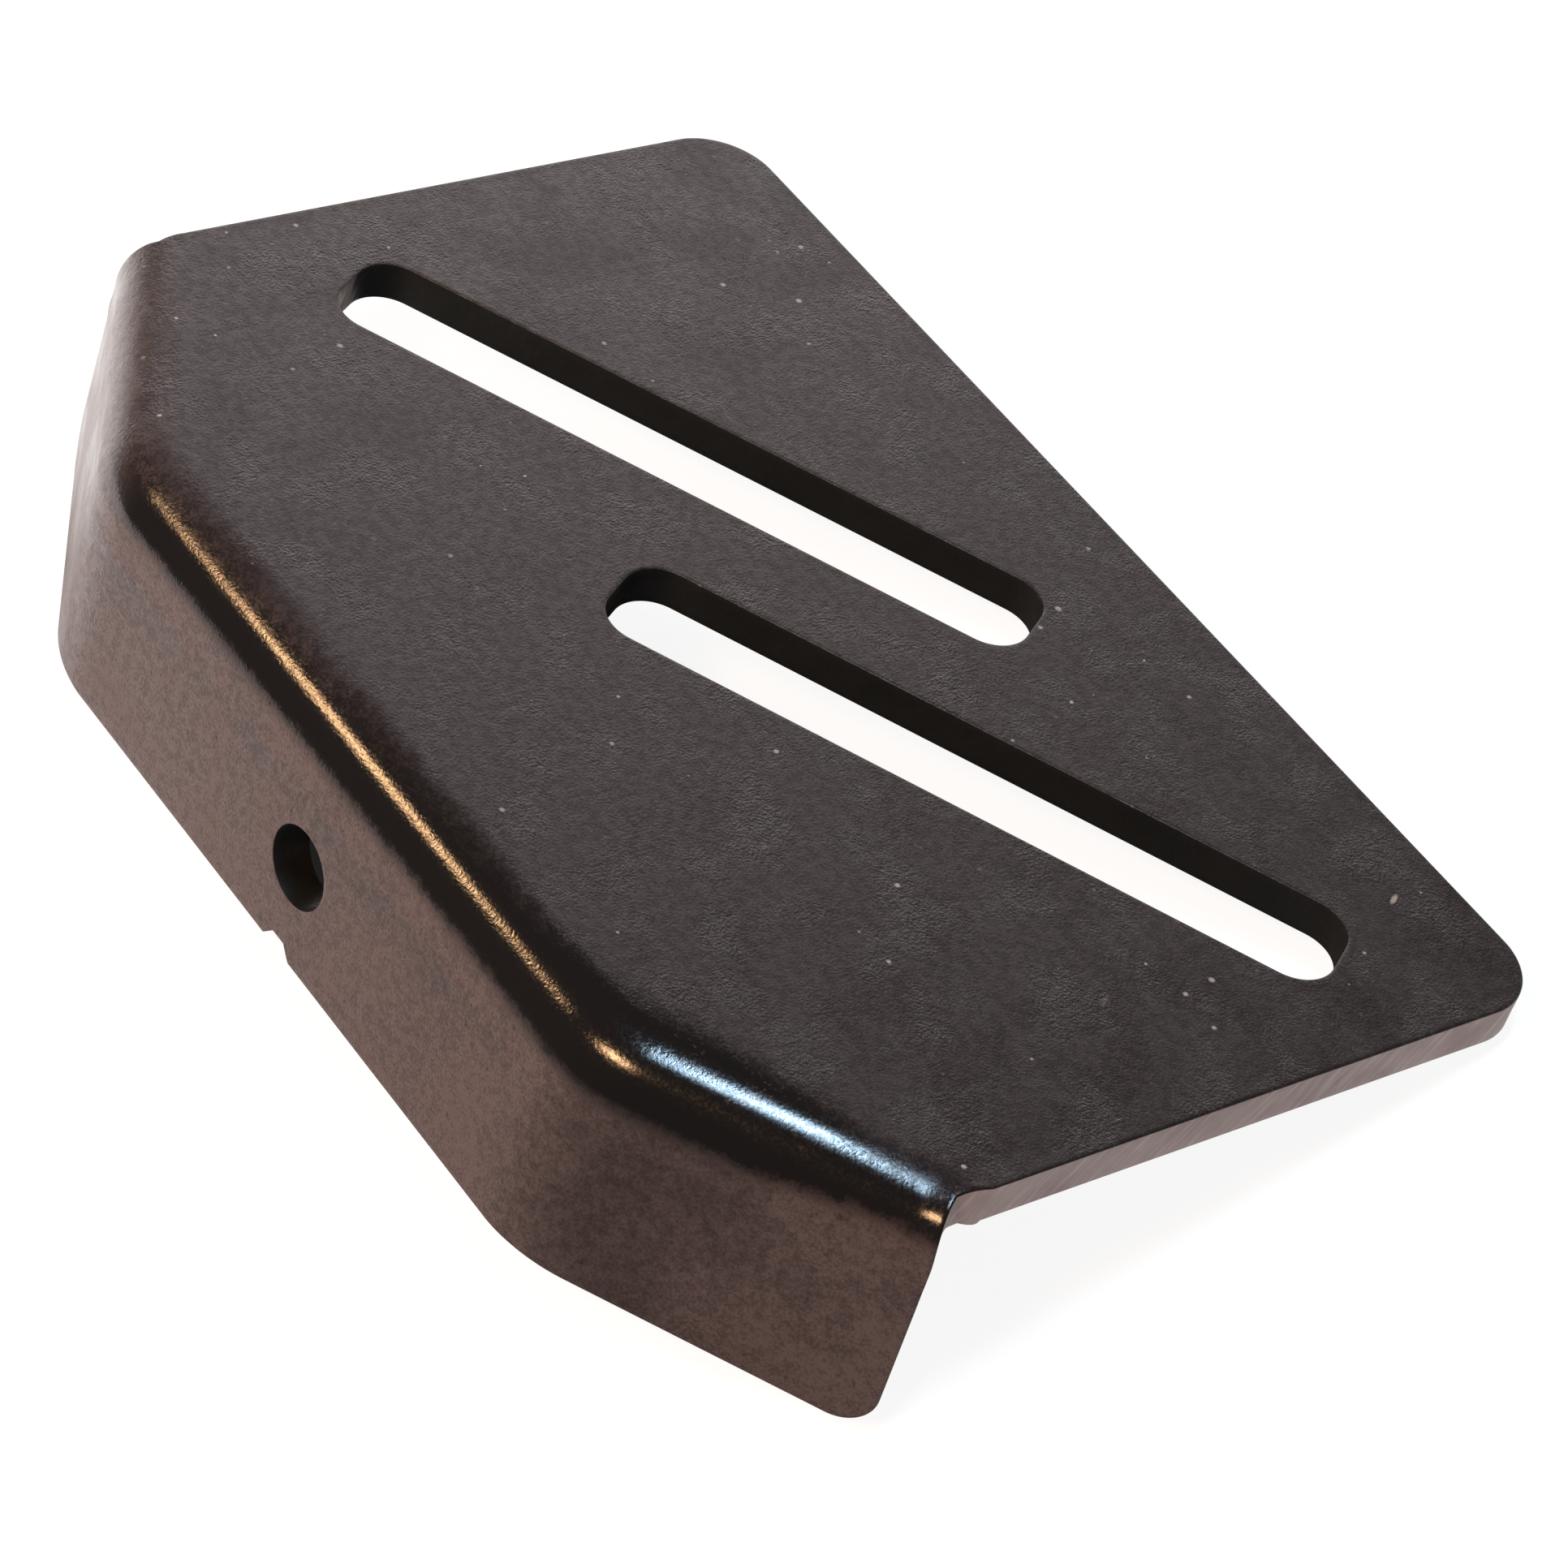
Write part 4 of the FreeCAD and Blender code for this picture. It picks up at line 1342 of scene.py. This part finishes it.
@dataclass(frozen=True)
class Softbox:
    """A flat lamp that faces the shoe."""

    name: str
    direction: Place
    along: Place
    distance: float
    width: float
    height: float
    radiance: float
    colour: Colour
    mirrored: bool = True

    def build(self, aim: Vector) -> None:
        """Hang the lamp in its direction from the aim, facing it, and light it.

        A flat lamp's power is its brightness times its area times pi. The light falls smoothly from the
        lamp's middle to its border.

        Args:
            aim: The point that the lamp faces.
        """
        lamp = bpy.data.lights.new(self.name, "AREA")
        lamp.shape = "RECTANGLE"
        lamp.size = self.width
        lamp.size_y = self.height
        lamp.energy = self.radiance * self.width * self.height * math.pi
        lamp.color = self.colour
        lamp.use_nodes = True
        graph = Graph(lamp.node_tree)
        across, up, _ = graph.parts(graph.add("ShaderNodeNewGeometry").outputs["Parametric"])
        soft = graph.product(graph.hump(across, 0.5, 0.5), graph.hump(up, 0.5, 0.5))
        light = graph.add("ShaderNodeEmission", {"Strength": soft}).outputs["Emission"]
        graph.add("ShaderNodeOutputLight", {"Surface": light})
        away = Vector(self.direction).normalized()
        side = (Vector(self.along) - away * away.dot(Vector(self.along))).normalized()
        turn = Matrix((side, away.cross(side), away)).transposed()
        held = bpy.data.objects.new(self.name, lamp)
        held.matrix_world = Matrix.Translation(aim + away * self.distance) @ turn.to_4x4()
        held.visible_camera = False
        held.visible_glossy = self.mirrored
        bpy.context.scene.collection.objects.link(held)


@dataclass
class Studio:
    """Floor, surroundings, lamps and camera."""

    eye: Place = (0.28936, -0.20365, 0.43504)
    aim: Place = (0.01682, -0.00266, 0.016)
    roll: float = math.radians(2.53)
    focal_pixels: float = 6583.0
    floor_reach: float = 3.0
    floor_height: float = -0.05 * MILLIMETRE
    floor_white: float = 0.20
    floor_glow: float = 0.78
    camera_glow: float = 0.91
    pool_slope: Span = (-0.8, 0.6)
    pool_reach: float = 0.10
    pool_dark: float = 0.10
    pool_bright: float = 2.1
    side_x: Span = (55.0 * MILLIMETRE, 80.0 * MILLIMETRE)
    side_y: Span = (38.0 * MILLIMETRE, 58.0 * MILLIMETRE)
    facet_slope: Span = (0.527, 0.85)
    facet_border: Span = (-70.7 * MILLIMETRE, -76.7 * MILLIMETRE)
    shade_x: float = -8.0 * MILLIMETRE
    shade_x_reach: float = 40.0 * MILLIMETRE
    shade_y: float = -38.5 * MILLIMETRE
    shade_y_reach: float = 12.5 * MILLIMETRE
    shade_range: Span = (0.0, 0.25)
    shade_glow: float = 0.012
    shade_white: float = 0.02
    wall_direction: Place = (-0.79, 0.59, 0.17)
    wall_border: Span = (0.90, 0.985)
    wall: Colour = (2.8, 2.46, 2.46)
    dim: Colour = (0.09, 0.075, 0.07)
    warm: Colour = (1.0, 0.585, 0.295)
    cool: Colour = (0.55, 0.78, 1.0)
    pale: Colour = (1.0, 0.88, 0.81)

    def floor(self) -> None:
        """Lay a wide pale floor just under the shoe.

        The floor has a glow of its own, so that it is white to the camera, and the rest of its brightness is
        real light, so that it keeps the shadow. In reflections the glow is stronger on the left, where a
        painted pool of lamp light lies, weaker in front on the right, and gone under the plate, which shades
        it. Deep under the fold the floor is painted dark, glow and white alike, as a painted shadow the
        camera sees too.
        """
        reach = self.floor_reach
        corners = [(x * reach, y * reach, self.floor_height) for x, y in ((-1, -1), (1, -1), (1, 1), (-1, 1))]
        mesh = bpy.data.meshes.new("floor")
        mesh.from_pydata(corners, [], [(0, 1, 2, 3)])
        floor = bpy.data.objects.new("floor", mesh)
        bpy.context.scene.collection.objects.link(floor)
        material, graph = new_material("pale_floor")
        x, y, _ = graph.parts(graph.add("ShaderNodeTexCoord").outputs["Object"])
        ray = graph.add("ShaderNodeLightPath").outputs
        pool = graph.span(graph.slope(x, y, self.pool_slope), -self.pool_reach, self.pool_reach,
                          self.pool_dark, self.pool_bright)
        outside = graph.math("MAXIMUM", graph.span(graph.math("ABSOLUTE", x), *self.side_x),
                             graph.span(graph.math("ABSOLUTE", y), *self.side_y))
        beyond = graph.span(graph.slope(x, y, self.facet_slope), *self.facet_border)
        outside = graph.math("MAXIMUM", outside, beyond)
        lit = graph.product(graph.between(ray["Is Glossy Ray"], self.floor_glow, pool), outside)
        # painted shadow deep under the fold, which dims both the glow and the white
        shade = graph.product(graph.hump(x, self.shade_x, self.shade_x_reach),
                              graph.hump(y, self.shade_y, self.shade_y_reach))
        plain = graph.span(shade, *self.shade_range, self.camera_glow, self.shade_glow)
        glow = graph.between(ray["Is Camera Ray"], lit, plain)
        white = graph.blend(graph.span(shade, *self.shade_range), (self.floor_white,) * 3,
                            (self.shade_white,) * 3)
        matt = graph.add("ShaderNodeBsdfDiffuse", {"Color": white}).outputs["BSDF"]
        light = graph.add("ShaderNodeEmission", {"Strength": glow}).outputs["Emission"]
        both = graph.add("ShaderNodeAddShader", {0: matt, 1: light}).outputs["Shader"]
        graph.add("ShaderNodeOutputMaterial", {"Surface": both})
        mesh.materials.append(material)

    def surroundings(self) -> None:
        """Surround the shoe with a dim room that has one bright wall at the back on the left.

        The camera itself sees plain white.
        """
        world = bpy.data.worlds.new("studio")
        world.use_nodes = True
        bpy.context.scene.world = world
        graph = Graph(world.node_tree)
        direction = graph.add("ShaderNodeTexCoord").outputs["Generated"]
        wall = graph.add("ShaderNodeVectorMath", {0: direction, 1: Vector(self.wall_direction).normalized()},
                         operation="DOT_PRODUCT").outputs["Value"]
        room = graph.blend(graph.span(wall, *self.wall_border), self.dim, self.wall)
        seen = graph.add("ShaderNodeLightPath").outputs["Is Camera Ray"]
        back = graph.add("ShaderNodeBackground", {"Color": graph.blend(seen, room, (1.0, 1.0, 1.0))})
        graph.add("ShaderNodeOutputWorld", {"Surface": back.outputs["Background"]})

    def lamps(self) -> list[Softbox]:
        """Return the lamps: two warm ones ahead, a cool one overhead and a broad warm fill from the left.

        Returns:
            The lamps, each with its direction from the shoe and the way its width runs.
        """
        sideways = (1.0, 0.0, 0.0)
        upright = (0.0, 0.0, 1.0)
        return [
            Softbox("warm_left", direction=(-0.528, -0.438, 0.726), along=sideways, distance=0.632,
                    width=0.12, height=0.16, radiance=54.0, colour=self.warm),
            Softbox("warm_front", direction=(0.097, -0.549, 0.830), along=sideways, distance=0.639,
                    width=0.28, height=0.16, radiance=50.0, colour=self.warm),
            Softbox("cool_top", direction=(0.064, 0.118, 0.991), along=(-0.36, 0.92, -0.17), distance=0.703,
                    width=0.44, height=0.05, radiance=112.0, colour=self.cool),
            Softbox("fill_left", direction=(-0.75, -0.60, 0.28), along=upright, distance=0.8,
                    width=0.4, height=0.6, radiance=19.0, colour=self.pale, mirrored=False),
        ]

    def camera(self) -> None:
        """Stand the camera where the photograph was taken from."""
        data = bpy.data.cameras.new("camera")
        data.sensor_width = SENSOR_WIDTH
        data.lens = self.focal_pixels * SENSOR_WIDTH / PHOTO_PIXELS
        camera = bpy.data.objects.new("camera", data)
        eye = Vector(self.eye)
        level = (Vector(self.aim) - eye).to_track_quat("-Z", "Y").to_matrix()
        turned = level @ Matrix.Rotation(self.roll, 3, "Z")
        camera.matrix_world = Matrix.Translation(eye) @ turned.to_4x4()
        bpy.context.scene.collection.objects.link(camera)
        bpy.context.scene.camera = camera

    def build(self) -> None:
        """Set up everything round the shoe."""
        self.floor()
        self.surroundings()
        lowest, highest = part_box("skid_shoe")
        for lamp in self.lamps():
            lamp.build((lowest + highest) / 2)
        self.camera()
        bpy.context.scene.view_settings.view_transform = "Standard"


def main() -> None:
    """Build the shoe and its studio, and report each piece."""
    logging.basicConfig(level=logging.INFO, format="%(name)s: %(message)s")
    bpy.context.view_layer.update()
    shoe = SkidShoe()
    piece = shoe.build()
    groups = Groups(CoatGrain().build(), DustSpecks().build())
    finishes = {
        Finish.COAT: CoatFinish(),
        Finish.SHEARED_EDGE: CutFinish("sheared_edge", coat=(0.36, 0.27, 0.26), rubbed=(0.56, 0.46, 0.445)),
        Finish.PUNCHED_WALL: CutFinish("punched_wall", coat=(0.0075, 0.0095, 0.0105),
                                       rubbed=(0.015, 0.015, 0.016), dust_share=0.0),
    }
    for finish in Finish:
        piece.data.materials.append(finishes[finish].build(groups, shoe.lie))
    Studio().build()
    log.info("piece %s with %s", piece.name, [material.name for material in piece.data.materials])


if __name__ == "__main__":
    main()
